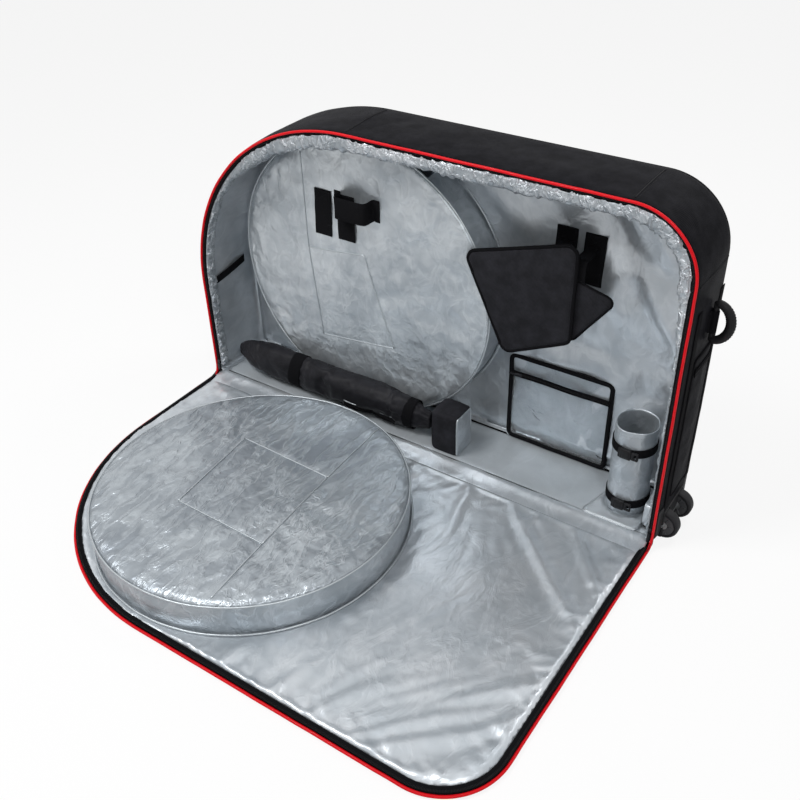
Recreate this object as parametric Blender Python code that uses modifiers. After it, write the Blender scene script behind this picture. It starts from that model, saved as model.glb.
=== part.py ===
# Soft bike travel bag, standing open with its front door laid flat on the floor.
# Metres, +Z up. X runs along the bag, +Y goes from the opening to the back panel.
# The origin is the middle of the skid plate's underside.
import math

import bmesh
import bpy
from mathutils import Vector

# Driving dimensions of the bag
BAG_LENGTH = 1.30
BAG_HEIGHT = 0.80
BAG_DEPTH = 0.185
TOP_LEFT_RADIUS = 0.50
TOP_RIGHT_RADIUS = 0.145
BOTTOM_RADIUS = 0.030

# Walls: a polyester outside, a foam core and a silvered lining
GAP = 0.0003
FABRIC = 0.0015
FOAM = 0.0080
LINING = 0.0015
LAYERS = FABRIC + FOAM + LINING + 2 * GAP
CUT_OVERRUN = 0.050

# Edge trim
PIPING_RADIUS = 0.0035
ZIP_TAPE_WIDTH = 0.0080
DOOR_TAPE_WIDTH = 0.0120
ZIP_TAPE_THICKNESS = 0.0015
RIM_PAD_THICKNESS = 0.0100
RIM_PAD_DEPTH = 0.0300
HINGE_ROLL_RADIUS = 0.0102

# Base
SKID_THICKNESS = 0.0050
SKID_MARGIN_X = 0.060
SKID_MARGIN_Y = 0.012
SKID_CORNER = 0.020
BOARD_THICKNESS = 0.0040
BOARD_SETBACK = 0.0040

# Zip sliders of the door
SLIDER_WIDTH = 0.0080
SLIDER_THICKNESS = 0.0032
SLIDER_LENGTH = 0.024
SLIDER_START_Z = 0.030
SLIDER_BEVEL = 0.0008
PULL_WIDTH = 0.0070
PULL_THICKNESS = 0.0015
PULL_LENGTH = 0.0275
PULL_ABOVE_PIVOT = 0.0007
PULL_PIVOT_SHARE = 0.5

# Wheel pockets
POCKET_RADIUS = 0.362
POCKET_DEPTH = 0.080
POCKET_WALL = 0.0030
POCKET_FACE = 0.0050
POCKET_PIPING = 0.0030
POCKET_MOUTH_HALF_ANGLE = math.radians(32)
DOOR_POCKET_X = -0.164
DOOR_POCKET_REACH = 0.392
WALL_POCKET_X = -0.194
WALL_POCKET_FLOOR_GAP = 0.0030

# Webbing anchors: two on the wall pocket's face, two on the back wall
WEBBING = 0.0020
ANCHOR_WIDTH = 0.050
ANCHOR_HEIGHT = 0.115
POCKET_ANCHOR_X = (-0.289, -0.221)
POCKET_ANCHOR_Z = 0.552
WALL_ANCHOR_X = (0.3095, 0.378)
WALL_ANCHOR_Z = 0.572
SEATPOST_STRAP_X = (-0.236, -0.142)
SEATPOST_STRAP_DEPTH = 0.038
SEATPOST_STRAP_HEIGHT = 0.055
SEATPOST_STRAP_Z = 0.590

# Clear pocket on the back wall
CLEAR_POCKET_X = (0.190, 0.460)
CLEAR_POCKET_Z = (0.024, 0.275)
CLEAR_BINDING_WIDTH = 0.008
CLEAR_BINDING_DEPTH = 0.010
CLEAR_SHEET = 0.0010
CLEAR_ZIP_Z = 0.222
CLEAR_ZIP_WIDTH = 0.012
CLEAR_SLIDER = (0.018, 0.0030, 0.008)
CLEAR_SLIDER_MARGIN = 0.012

# Fork holster with its two buckled straps
HOLSTER_RADIUS = 0.048
HOLSTER_WALL = 0.0040
HOLSTER_HEIGHT = 0.235
HOLSTER_X = 0.548
HOLSTER_Y = -0.0075
HOLSTER_STRAP_HEIGHT = 0.022
HOLSTER_STRAP_Z = (0.058, 0.203)
BUCKLE_FEMALE = (0.026, 0.0080, 0.026)
BUCKLE_MALE = (0.016, 0.0060, 0.020)
BUCKLE_BEVEL = 0.0015

# Wheels at the lower right corner
WHEEL_RADIUS = 0.036
TYRE_THICKNESS = 0.009
WHEEL_WIDTH = 0.024
WHEEL_Y = 0.040
AXLE_OVERHANG = 0.001
AXLE_RADIUS = 0.0040
BEARING_RADIUS = 0.0110
WELL_CLEARANCE = 0.0025
WELL_SIDE_CLEARANCE = 0.0015
HOUSING_WALL = 0.0030
HOUSING_OVERHANG = 0.004
HOUSING_FLOOR_GAP = 0.0030
HOUSING_BEVEL = 0.0020
WELL_COVER_WALL = 0.0040

# Things kept in the bag
CONTENT_SETBACK = 0.0165
SLEEVE_X = (-0.600, 0.040)
SLEEVE_HALF_WIDTH = 0.0330
SLEEVE_HALF_HEIGHT = 0.053
SLEEVE_STRAP_X = -0.385
SLEEVE_STRAP_WIDTH = 0.038
SLEEVE_STRAP_THICKNESS = 0.0015
SLEEVE_ROUND_END_SHARE = 0.17
SLEEVE_GATHER_SHARE = 0.20
SLEEVE_GATHER_DEPTH_SHARE = 0.55
SLEEVE_LEAST_SHARE = 0.35
BLOCK_X = (0.056, 0.130)
BLOCK_WIDTH = 0.069
BLOCK_HEIGHT = 0.114
BLOCK_BEVEL = 0.006

# Frame pad hung from the back wall's anchors
PAD_THICKNESS = 0.012
PAD_LEFT = 0.105
PAD_RIGHT = 0.375
PAD_LOWER_LEFT = 0.215
PAD_TOP_RIGHT_Z = 0.640
PAD_TOP_LEFT_Z = 0.556
PAD_BOTTOM_RIGHT_Z = 0.404
PAD_BOTTOM_LEFT_Z = 0.325
PAD_CORNER = 0.022
PAD_CORNER_STEPS = 4
PAD_FACE_GAP = 0.0028
WING_RIGHT = 0.468
WING_LEFT = 0.290
WING_TOP_Z = 0.575
WING_SIDE_Z = 0.530
WING_LOW_Z = 0.430
WING_THICKNESS = 0.006
WING_CORNER = 0.015
PAD_STRAP_WIDTH = 0.030
PAD_STRAP_RUN = 0.040
PAD_STRAP_Z = 0.600
PAD_STRAP_END_GAP = 0.0008

# Grab handle on the right end
HANDLE_Y = 0.0125
HANDLE_Z = 0.5375
HANDLE_HALF_HEIGHT = 0.042
HANDLE_REACH = 0.034
HANDLE_ROD_RADIUS = 0.0055
HANDLE_GRIP_RADIUS = 0.0100
HANDLE_BORE_CLEARANCE = 0.0005
HANDLE_TAB_WIDTH = 0.040
HANDLE_TAB_HEIGHT = 0.050
HANDLE_TAB_PLATE = 0.0027
HANDLE_TAB_WALL = 0.0030

# Counts
TOP_LEFT_STEPS = 12
TOP_RIGHT_STEPS = 7
BOTTOM_STEPS = 3
POCKET_STEPS = 56
ROUND_STEPS = 32
SMALL_STEPS = 24
SLEEVE_STEPS = 16
HANDLE_STEPS = 12

# Places worked out from the sizes above
BOTTOM_Z = SKID_THICKNESS + GAP
FRONT_Y = -BAG_DEPTH / 2
BACK_Y = BAG_DEPTH / 2
LEFT_X = -BAG_LENGTH / 2
RIGHT_X = BAG_LENGTH / 2
INNER_BACK_Y = BACK_Y - LAYERS
FLOOR_Z = BOTTOM_Z + LAYERS
BOARD_TOP_Z = FLOOR_Z + GAP + BOARD_THICKNESS
HINGE_Y = FRONT_Y - HINGE_ROLL_RADIUS - GAP
HINGE_Z = LAYERS
TRIM_START_Z = BOTTOM_Z + BOTTOM_RADIUS
PANEL_INSET = 2 * PIPING_RADIUS + GAP
CONTENT_FRONT_Y = FRONT_Y + CONTENT_SETBACK
WALL_POCKET_Z = BOARD_TOP_Z + WALL_POCKET_FLOOR_GAP + POCKET_RADIUS + POCKET_PIPING
WALL_POCKET_FRONT_Y = INNER_BACK_Y - POCKET_DEPTH - POCKET_FACE - 2 * GAP
DOOR_POCKET_Y = HINGE_Y - DOOR_POCKET_REACH
AXLE_X = RIGHT_X + AXLE_OVERHANG
WELL_LEFT = AXLE_X - WHEEL_RADIUS - WELL_CLEARANCE
WELL_TOP = 2 * WHEEL_RADIUS + WELL_CLEARANCE
WELL_HALF_WIDTH = WHEEL_WIDTH / 2 + WELL_SIDE_CLEARANCE
HOUSING_LEFT = WELL_LEFT - HOUSING_WALL
HOUSING_TOP = WELL_TOP + HOUSING_WALL
HOUSING_RIGHT = RIGHT_X + HOUSING_OVERHANG
HOUSING_HALF_WIDTH = WHEEL_Y + WELL_HALF_WIDTH + HOUSING_WALL
HANDLE_PIVOT_X = RIGHT_X + GAP + HANDLE_TAB_PLATE + HANDLE_TAB_WALL + HANDLE_ROD_RADIUS
PAD_BACK_Y = WALL_POCKET_FRONT_Y - PAD_FACE_GAP
WALL_ANCHOR_FRONT_Y = INNER_BACK_Y - GAP - WEBBING

PART_COLLECTION = "bike_travel_bag"
CUTTER_COLLECTION = "cutters"


def clear_scene():
    for item in list(bpy.data.objects):
        bpy.data.objects.remove(item, do_unlink=True)


def make_collection(name):
    group = bpy.data.collections.new(name)
    bpy.context.scene.collection.children.link(group)
    return group


def make_material(name, color, roughness, metallic=0.0, alpha=1.0):
    finish = bpy.data.materials.new(name)
    finish.use_nodes = True
    shader = finish.node_tree.nodes["Principled BSDF"]
    shader.inputs["Base Color"].default_value = (*color, 1.0)
    shader.inputs["Roughness"].default_value = roughness
    shader.inputs["Metallic"].default_value = metallic
    shader.inputs["Alpha"].default_value = alpha
    return finish


clear_scene()
parts = make_collection(PART_COLLECTION)
cutters = make_collection(CUTTER_COLLECTION)

black_polyester = make_material("black_polyester", (0.016, 0.016, 0.018), 0.75)
black_foam = make_material("black_foam", (0.020, 0.020, 0.020), 0.90)
silver_lining = make_material("silver_lining", (0.42, 0.43, 0.45), 0.38, 0.60)
grey_board_cloth = make_material("grey_board_cloth", (0.16, 0.165, 0.17), 0.60)
red_piping = make_material("red_piping", (0.62, 0.015, 0.020), 0.45)
black_webbing = make_material("black_webbing", (0.012, 0.012, 0.013), 0.80)
black_plastic = make_material("black_plastic", (0.014, 0.014, 0.015), 0.40)
rubber_black = make_material("rubber_black", (0.030, 0.030, 0.031), 0.70)
clear_vinyl = make_material("clear_vinyl", (0.80, 0.82, 0.84), 0.12, 0.0, 0.35)
steel = make_material("steel", (0.56, 0.57, 0.58), 0.30, 1.0)


def finish_object(item, name, finish):
    item.name = name
    item.data.name = name
    item.data.materials.clear()
    item.data.materials.append(finish)
    for group in list(item.users_collection):
        group.objects.unlink(item)
    parts.objects.link(item)
    return item


def make_cutter(item, name):
    item.name = name
    for group in list(item.users_collection):
        group.objects.unlink(item)
    cutters.objects.link(item)
    item.hide_render = True
    item.display_type = "WIRE"
    return item


def arc(center_x, center_y, radius, start, end, steps):
    points = []
    for step in range(steps + 1):
        angle = start + (end - start) * step / steps
        points.append((center_x + radius * math.cos(angle), center_y + radius * math.sin(angle)))
    return points


def top_corners(inset):
    left = arc(LEFT_X + TOP_LEFT_RADIUS, BAG_HEIGHT - TOP_LEFT_RADIUS,
               TOP_LEFT_RADIUS - inset, math.pi, math.pi / 2, TOP_LEFT_STEPS)
    right = arc(RIGHT_X - TOP_RIGHT_RADIUS, BAG_HEIGHT - TOP_RIGHT_RADIUS,
                TOP_RIGHT_RADIUS - inset, math.pi / 2, 0, TOP_RIGHT_STEPS)
    return left + right


def closed_outline(inset):
    # the bag's whole outline, as (x, z), drawn inwards by the inset
    left = arc(LEFT_X + BOTTOM_RADIUS, BOTTOM_Z + BOTTOM_RADIUS,
               BOTTOM_RADIUS - inset, -math.pi / 2, -math.pi, BOTTOM_STEPS)
    right = arc(RIGHT_X - BOTTOM_RADIUS, BOTTOM_Z + BOTTOM_RADIUS,
                BOTTOM_RADIUS - inset, 0, -math.pi / 2, BOTTOM_STEPS)
    return left + top_corners(inset) + right


def open_outline(inset, start_z):
    # both ends and the top, without the bottom edge
    left = [(LEFT_X + inset, start_z)]
    right = [(RIGHT_X - inset, start_z)]
    return left + top_corners(inset) + right


def open_band(outer_inset, inner_inset, start_z):
    outer = open_outline(outer_inset, start_z)
    inner = open_outline(inner_inset, start_z)
    return outer + inner[::-1]


def laid_down(points):
    # a point of the opening's outline, turned about the hinge onto the floor
    return [(x, HINGE_Y - (z - HINGE_Z)) for x, z in points]


def rounded_polygon(corners, radius, steps):
    # each corner is replaced by an arc that meets both its edges
    points = []
    count = len(corners)
    for index in range(count):
        corner = Vector(corners[index])
        before = (Vector(corners[index - 1]) - corner).normalized()
        after = (Vector(corners[(index + 1) % count]) - corner).normalized()
        half = before.angle(after) / 2
        middle = corner + (before + after).normalized() * (radius / math.sin(half))
        first = corner + before * (radius / math.tan(half)) - middle
        last = corner + after * (radius / math.tan(half)) - middle
        start = math.atan2(first.y, first.x)
        turn = (math.atan2(last.y, last.x) - start + math.pi) % (2 * math.pi) - math.pi
        points += arc(middle.x, middle.y, radius, start, start + turn, steps)
    return points


def make_plate(name, loops, thickness, finish):
    # a flat outline, with any holes, extruded evenly to both sides of its plane
    outline = bpy.data.curves.new(name, "CURVE")
    outline.dimensions = "2D"
    outline.fill_mode = "BOTH"
    outline.extrude = thickness / 2
    for loop in loops:
        spline = outline.splines.new("POLY")
        spline.points.add(len(loop) - 1)
        for point, (x, y) in zip(spline.points, loop):
            point.co = (x, y, 0, 1)
        spline.use_cyclic_u = True
    item = bpy.data.objects.new(name, outline)
    bpy.context.scene.collection.objects.link(item)
    return finish_object(item, name, finish)


def make_wall(name, loops, low_y, high_y, finish):
    # a plate that stands in the XZ plane, from low_y to high_y
    item = make_plate(name, loops, high_y - low_y, finish)
    item.rotation_euler = (math.pi / 2, 0, 0)
    item.location = (0, (low_y + high_y) / 2, 0)
    return item


def make_sheet(name, loops, low_z, high_z, finish):
    # a plate that lies in the XY plane, from low_z to high_z
    item = make_plate(name, loops, high_z - low_z, finish)
    item.location = (0, 0, (low_z + high_z) / 2)
    return item


def make_tube(name, points, radius, finish, cyclic=False, shares=None, resolution=1):
    path = bpy.data.curves.new(name, "CURVE")
    path.dimensions = "3D"
    path.bevel_depth = radius
    path.bevel_resolution = resolution
    path.use_fill_caps = True
    spline = path.splines.new("POLY")
    spline.points.add(len(points) - 1)
    for index, (point, place) in enumerate(zip(spline.points, points)):
        point.co = (*place, 1)
        point.radius = shares[index] if shares else 1
    spline.use_cyclic_u = cyclic
    item = bpy.data.objects.new(name, path)
    bpy.context.scene.collection.objects.link(item)
    return finish_object(item, name, finish)


def make_box(name, low, high, finish, bevel=0):
    bpy.ops.mesh.primitive_cube_add(size=1)
    item = bpy.context.active_object
    size = [b - a for a, b in zip(low, high)]
    for vertex in item.data.vertices:
        vertex.co = [value * length for value, length in zip(vertex.co, size)]
    item.location = [(a + b) / 2 for a, b in zip(low, high)]
    if bevel:
        rounding = item.modifiers.new("rounded_edges", "BEVEL")
        rounding.width = bevel
        rounding.segments = 1
    return finish_object(item, name, finish)


def make_cylinder(name, radius, length, center, axis, finish, steps):
    bpy.ops.mesh.primitive_cylinder_add(vertices=steps, radius=radius, depth=length)
    item = bpy.context.active_object
    item.location = center
    item.rotation_euler = Vector((0, 0, 1)).rotation_difference(Vector(axis)).to_euler()
    return finish_object(item, name, finish)


def cut_by(item, cutter, operation="DIFFERENCE"):
    cut = item.modifiers.new("cut_by_" + cutter.name, "BOOLEAN")
    cut.object = cutter
    cut.operation = operation
    cut.solver = "EXACT"


def as_mesh(item):
    # a curve made a welded mesh, so that it can be cut
    bpy.context.view_layer.update()
    graph = bpy.context.evaluated_depsgraph_get()
    mesh = bpy.data.meshes.new_from_object(item.evaluated_get(graph))
    body = bmesh.new()
    body.from_mesh(mesh)
    bmesh.ops.remove_doubles(body, verts=body.verts, dist=GAP / 10)
    bmesh.ops.recalc_face_normals(body, faces=body.faces)
    body.to_mesh(mesh)
    body.free()
    name = item.name
    finish = item.data.materials[0]
    made = bpy.data.objects.new(name, mesh)
    made.matrix_world = item.matrix_world.copy()
    bpy.context.scene.collection.objects.link(made)
    bpy.data.objects.remove(item, do_unlink=True)
    return finish_object(made, name, finish)


def make_hinge(name, place):
    pivot = bpy.data.objects.new(name, None)
    pivot.location = place
    parts.objects.link(pivot)
    return pivot


def carry(pivot, items):
    bpy.context.view_layer.update()
    for item in items:
        item.parent = pivot
        item.matrix_parent_inverse = pivot.matrix_world.inverted()


def wheel_well_cutter():
    low = (HOUSING_LEFT - GAP, -HOUSING_HALF_WIDTH - GAP, -CUT_OVERRUN)
    high = (RIGHT_X + CUT_OVERRUN, HOUSING_HALF_WIDTH + GAP, HOUSING_TOP + GAP)
    return make_cutter(make_box("corner_cutter", low, high, black_plastic), "corner_cutter")


def inside_guide():
    guide = make_wall("inside_guide", [closed_outline(LAYERS + GAP)], FRONT_Y, BACK_Y, black_plastic)
    return make_cutter(as_mesh(guide), "inside_guide")


def build_back_panel():
    inner = FABRIC + GAP
    fabric_front = BACK_Y - FABRIC
    foam_front = fabric_front - GAP - FOAM
    lining_front = foam_front - GAP - LINING
    make_wall("back_panel_fabric", [closed_outline(0)], fabric_front, BACK_Y, black_polyester)
    make_wall("back_panel_foam", [closed_outline(inner)], foam_front, foam_front + FOAM, black_foam)
    make_wall("back_panel_lining", [closed_outline(inner)], lining_front,
              lining_front + LINING, silver_lining)


def build_gusset(corner):
    layers = (
        ("gusset_fabric", 0, FABRIC, BACK_Y - FABRIC - GAP, black_polyester),
        ("gusset_foam", FABRIC + GAP, FOAM, INNER_BACK_Y - GAP, black_foam),
        ("gusset_lining", FABRIC + FOAM + 2 * GAP, LINING, INNER_BACK_Y - GAP, silver_lining),
    )
    for name, inset, thickness, rear, finish in layers:
        loops = [closed_outline(inset), closed_outline(inset + thickness)]
        band = as_mesh(make_wall(name, loops, FRONT_Y, rear, finish))
        cut_by(band, corner)


def build_opening_trim():
    middle_y = FRONT_Y - GAP - PIPING_RADIUS
    path = [(x, middle_y, z) for x, z in open_outline(PIPING_RADIUS, TRIM_START_Z)]
    make_tube("opening_piping", path, PIPING_RADIUS, red_piping)
    tape = open_band(PANEL_INSET, PANEL_INSET + ZIP_TAPE_WIDTH, TRIM_START_Z)
    make_wall("opening_zip_tape", [tape], FRONT_Y - GAP - ZIP_TAPE_THICKNESS, FRONT_Y - GAP,
              black_webbing)
    start = LAYERS + GAP
    pad = open_band(start, start + RIM_PAD_THICKNESS, TRIM_START_Z)
    make_wall("opening_rim_pad", [pad], FRONT_Y, FRONT_Y + RIM_PAD_DEPTH, silver_lining)


def build_base():
    skid = [(LEFT_X + SKID_MARGIN_X, FRONT_Y + SKID_MARGIN_Y),
            (HOUSING_LEFT - GAP - SKID_MARGIN_Y, FRONT_Y + SKID_MARGIN_Y),
            (HOUSING_LEFT - GAP - SKID_MARGIN_Y, BACK_Y - SKID_MARGIN_Y),
            (LEFT_X + SKID_MARGIN_X, BACK_Y - SKID_MARGIN_Y)]
    make_sheet("skid_plate", [rounded_polygon(skid, SKID_CORNER, BOTTOM_STEPS)], 0,
               SKID_THICKNESS, black_plastic)
    low = (LEFT_X + BOTTOM_RADIUS, FRONT_Y + BOARD_SETBACK, FLOOR_Z + GAP)
    high = (HOUSING_LEFT - GAP - WELL_COVER_WALL - 2 * GAP, INNER_BACK_Y - BOARD_SETBACK, BOARD_TOP_Z)
    make_box("base_board", low, high, grey_board_cloth)


def build_door():
    edge_z = HINGE_Z + HINGE_ROLL_RADIUS + GAP
    panel = laid_down(open_outline(PANEL_INSET, edge_z))
    outer = make_sheet("door_fabric", [panel], 0, FABRIC, black_polyester)
    foam_z = FABRIC + GAP
    foam = make_sheet("door_foam", [panel], foam_z, foam_z + FOAM, black_foam)
    lining_z = foam_z + FOAM + GAP
    lining = make_sheet("door_lining", [panel], lining_z, lining_z + LINING, silver_lining)
    route = laid_down(open_outline(PIPING_RADIUS, edge_z))
    path = [(x, y, LAYERS / 2) for x, y in route]
    piping = make_tube("door_piping", path, PIPING_RADIUS, red_piping)
    band = laid_down(open_band(PANEL_INSET, PANEL_INSET + DOOR_TAPE_WIDTH, edge_z))
    tape_z = LAYERS + GAP
    tape = make_sheet("door_zip_tape", [band], tape_z, tape_z + ZIP_TAPE_THICKNESS, black_webbing)
    pivot = make_hinge("door_hinge_line", (0, HINGE_Y, HINGE_Z))
    carry(pivot, [outer, foam, lining, piping, tape])
    roll_end = BAG_LENGTH / 2 - BOTTOM_RADIUS - GAP
    make_cylinder("door_hinge_roll", HINGE_ROLL_RADIUS, 2 * roll_end, (0, HINGE_Y, HINGE_Z),
                  (1, 0, 0), silver_lining, SMALL_STEPS)
    return pivot


def build_zip_slider(name, sign):
    lane_x = sign * (BAG_LENGTH / 2 - PANEL_INSET - GAP - SLIDER_WIDTH / 2)
    front_y = FRONT_Y - 2 * GAP - ZIP_TAPE_THICKNESS
    low = (lane_x - SLIDER_WIDTH / 2, front_y - SLIDER_THICKNESS, SLIDER_START_Z)
    high = (lane_x + SLIDER_WIDTH / 2, front_y, SLIDER_START_Z + SLIDER_LENGTH)
    make_box("zip_slider_" + name, low, high, steel, SLIDER_BEVEL)
    pull_rear = low[1] - GAP
    pivot_z = SLIDER_START_Z + SLIDER_LENGTH * PULL_PIVOT_SHARE
    low = (lane_x - PULL_WIDTH / 2, pull_rear - PULL_THICKNESS,
           pivot_z + PULL_ABOVE_PIVOT - PULL_LENGTH)
    high = (lane_x + PULL_WIDTH / 2, pull_rear, pivot_z + PULL_ABOVE_PIVOT)
    pull = make_box("zip_pull_" + name, low, high, black_plastic)
    pivot = make_hinge("zip_pull_line_" + name, (lane_x, pull_rear - PULL_THICKNESS / 2, pivot_z))
    carry(pivot, [pull])


def pocket_band(center_x, center_y, mouth_angle):
    # the pocket's side wall in plan, open at its mouth
    start = mouth_angle + POCKET_MOUTH_HALF_ANGLE
    end = mouth_angle + 2 * math.pi - POCKET_MOUTH_HALF_ANGLE
    outer = arc(center_x, center_y, POCKET_RADIUS, start, end, POCKET_STEPS)
    inner = arc(center_x, center_y, POCKET_RADIUS - POCKET_WALL, start, end, POCKET_STEPS)
    return outer + inner[::-1]


def circle(center_x, center_y, radius, steps):
    return arc(center_x, center_y, radius, 0, 2 * math.pi * (steps - 1) / steps, steps - 1)


def build_door_pocket(door_pivot):
    wall_z = LAYERS + GAP
    side = make_sheet("door_pocket_side", [pocket_band(DOOR_POCKET_X, DOOR_POCKET_Y, math.pi / 2)],
                      wall_z, wall_z + POCKET_DEPTH, silver_lining)
    carry(door_pivot, [side])
    face_z = wall_z + POCKET_DEPTH + GAP + POCKET_PIPING - POCKET_FACE / 2
    disc = circle(DOOR_POCKET_X, DOOR_POCKET_Y, POCKET_RADIUS - POCKET_PIPING - GAP, POCKET_STEPS)
    face = make_sheet("door_pocket_face", [disc], face_z, face_z + POCKET_FACE, silver_lining)
    rim_z = face_z + POCKET_FACE / 2
    ring = circle(DOOR_POCKET_X, DOOR_POCKET_Y, POCKET_RADIUS, POCKET_STEPS)
    piping = make_tube("door_pocket_piping", [(x, y, rim_z) for x, y in ring], POCKET_PIPING,
                       silver_lining, cyclic=True)
    carry(door_pivot, [face, piping])


def build_wall_pocket():
    rear = INNER_BACK_Y - GAP
    front = rear - POCKET_DEPTH
    make_wall("wall_pocket_side", [pocket_band(WALL_POCKET_X, WALL_POCKET_Z, math.pi / 2)],
              front, rear, silver_lining)
    face_y = front - GAP - POCKET_FACE
    disc = circle(WALL_POCKET_X, WALL_POCKET_Z, POCKET_RADIUS - POCKET_PIPING - GAP, POCKET_STEPS)
    make_wall("wall_pocket_face", [disc], face_y, face_y + POCKET_FACE, silver_lining)
    rim_y = front - GAP - POCKET_PIPING
    ring = circle(WALL_POCKET_X, WALL_POCKET_Z, POCKET_RADIUS, POCKET_STEPS)
    make_tube("wall_pocket_piping", [(x, rim_y, z) for x, z in ring], POCKET_PIPING,
              silver_lining, cyclic=True)


def build_anchors():
    places = [("pocket_anchor_left", POCKET_ANCHOR_X[0], POCKET_ANCHOR_Z, WALL_POCKET_FRONT_Y),
              ("pocket_anchor_right", POCKET_ANCHOR_X[1], POCKET_ANCHOR_Z, WALL_POCKET_FRONT_Y),
              ("wall_anchor_left", WALL_ANCHOR_X[0], WALL_ANCHOR_Z, INNER_BACK_Y),
              ("wall_anchor_right", WALL_ANCHOR_X[1], WALL_ANCHOR_Z, INNER_BACK_Y)]
    for name, x, z, back in places:
        low = (x - ANCHOR_WIDTH / 2, back - GAP - WEBBING, z - ANCHOR_HEIGHT / 2)
        high = (x + ANCHOR_WIDTH / 2, back - GAP, z + ANCHOR_HEIGHT / 2)
        make_box(name, low, high, black_webbing)


def build_seatpost_strap():
    back = WALL_POCKET_FRONT_Y - 2 * GAP - WEBBING
    front = back - SEATPOST_STRAP_DEPTH
    left, right = SEATPOST_STRAP_X
    corner = SEATPOST_STRAP_DEPTH / 2 - GAP
    outer = [(left, front), (right, front), (right, back), (left, back)]
    inner = [(left + WEBBING, front + WEBBING), (right - WEBBING, front + WEBBING),
             (right - WEBBING, back - WEBBING), (left + WEBBING, back - WEBBING)]
    loops = [rounded_polygon(outer, corner, BOTTOM_STEPS),
             rounded_polygon(inner, corner - WEBBING, BOTTOM_STEPS)]
    make_sheet("seatpost_strap", loops, SEATPOST_STRAP_Z - SEATPOST_STRAP_HEIGHT / 2,
               SEATPOST_STRAP_Z + SEATPOST_STRAP_HEIGHT / 2, black_webbing)


def build_clear_pocket():
    left, right = CLEAR_POCKET_X
    low_z, high_z = CLEAR_POCKET_Z
    rear = INNER_BACK_Y - GAP
    front = rear - CLEAR_BINDING_DEPTH
    edge = CLEAR_BINDING_WIDTH
    frame = [(left, high_z), (left, low_z), (right, low_z), (right, high_z),
             (right - edge, high_z), (right - edge, low_z + edge),
             (left + edge, low_z + edge), (left + edge, high_z)]
    make_wall("clear_pocket_binding", [frame], front, rear, black_webbing)
    sheet_rear = front - GAP
    sheet_front = sheet_rear - CLEAR_SHEET
    make_box("clear_pocket_window", (left, sheet_front, low_z), (right, sheet_rear, high_z),
             clear_vinyl)
    zip_front = sheet_front - GAP - ZIP_TAPE_THICKNESS
    make_box("clear_pocket_zip", (left + edge, zip_front, CLEAR_ZIP_Z - CLEAR_ZIP_WIDTH / 2),
             (right - edge, sheet_front - GAP, CLEAR_ZIP_Z + CLEAR_ZIP_WIDTH / 2), black_webbing)
    length, thickness, height = CLEAR_SLIDER
    start = left + edge + CLEAR_SLIDER_MARGIN
    make_box("clear_pocket_slider", (start, zip_front - GAP - thickness, CLEAR_ZIP_Z - height / 2),
             (start + length, zip_front - GAP, CLEAR_ZIP_Z + height / 2), steel, SLIDER_BEVEL)


def build_holster():
    base_z = BOARD_TOP_Z + GAP
    loops = [circle(HOLSTER_X, HOLSTER_Y, HOLSTER_RADIUS, ROUND_STEPS),
             circle(HOLSTER_X, HOLSTER_Y, HOLSTER_RADIUS - HOLSTER_WALL, ROUND_STEPS)]
    make_sheet("fork_holster", loops, base_z, base_z + HOLSTER_HEIGHT, silver_lining)
    inner = HOLSTER_RADIUS + GAP
    loops = [circle(HOLSTER_X, HOLSTER_Y, inner + WEBBING, ROUND_STEPS),
             circle(HOLSTER_X, HOLSTER_Y, inner, ROUND_STEPS)]
    buckle_y = HOLSTER_Y - inner - WEBBING - GAP
    for level, middle in zip(("lower", "upper"), HOLSTER_STRAP_Z):
        make_sheet("holster_strap_" + level, loops, middle - HOLSTER_STRAP_HEIGHT / 2,
                   middle + HOLSTER_STRAP_HEIGHT / 2, black_webbing)
        length, depth, height = BUCKLE_FEMALE
        low = (HOLSTER_X - length / 2, buckle_y - depth, middle - height / 2)
        high = (HOLSTER_X + length / 2, buckle_y, middle + height / 2)
        make_box("holster_buckle_socket_" + level, low, high, black_plastic, BUCKLE_BEVEL)
        length, width, height = BUCKLE_MALE
        middle_y = buckle_y - depth / 2
        low = (high[0] + GAP, middle_y - width / 2, middle - height / 2)
        high = (high[0] + GAP + length, middle_y + width / 2, middle + height / 2)
        make_box("holster_buckle_tongue_" + level, low, high, black_plastic, BUCKLE_BEVEL)


def build_wheels():
    hub_radius = WHEEL_RADIUS - TYRE_THICKNESS
    for name, y in (("front", -WHEEL_Y), ("rear", WHEEL_Y)):
        rings = (
            ("wheel_tyre_" + name, WHEEL_RADIUS, hub_radius, rubber_black),
            ("wheel_hub_" + name, hub_radius - GAP, BEARING_RADIUS + GAP, black_plastic),
            ("wheel_bearing_" + name, BEARING_RADIUS, AXLE_RADIUS + GAP, steel),
        )
        pivot = make_hinge("wheel_line_" + name, (AXLE_X, y, WHEEL_RADIUS))
        for part_name, outer, inner, finish in rings:
            loops = [circle(AXLE_X, WHEEL_RADIUS, outer, ROUND_STEPS),
                     circle(AXLE_X, WHEEL_RADIUS, inner, ROUND_STEPS)]
            ring = make_wall(part_name, loops, y - WHEEL_WIDTH / 2, y + WHEEL_WIDTH / 2, finish)
            carry(pivot, [ring])
    make_cylinder("wheel_axle", AXLE_RADIUS, 2 * (HOUSING_HALF_WIDTH - GAP), (AXLE_X, 0, WHEEL_RADIUS),
                  (0, 1, 0), steel, ROUND_STEPS)


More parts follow.
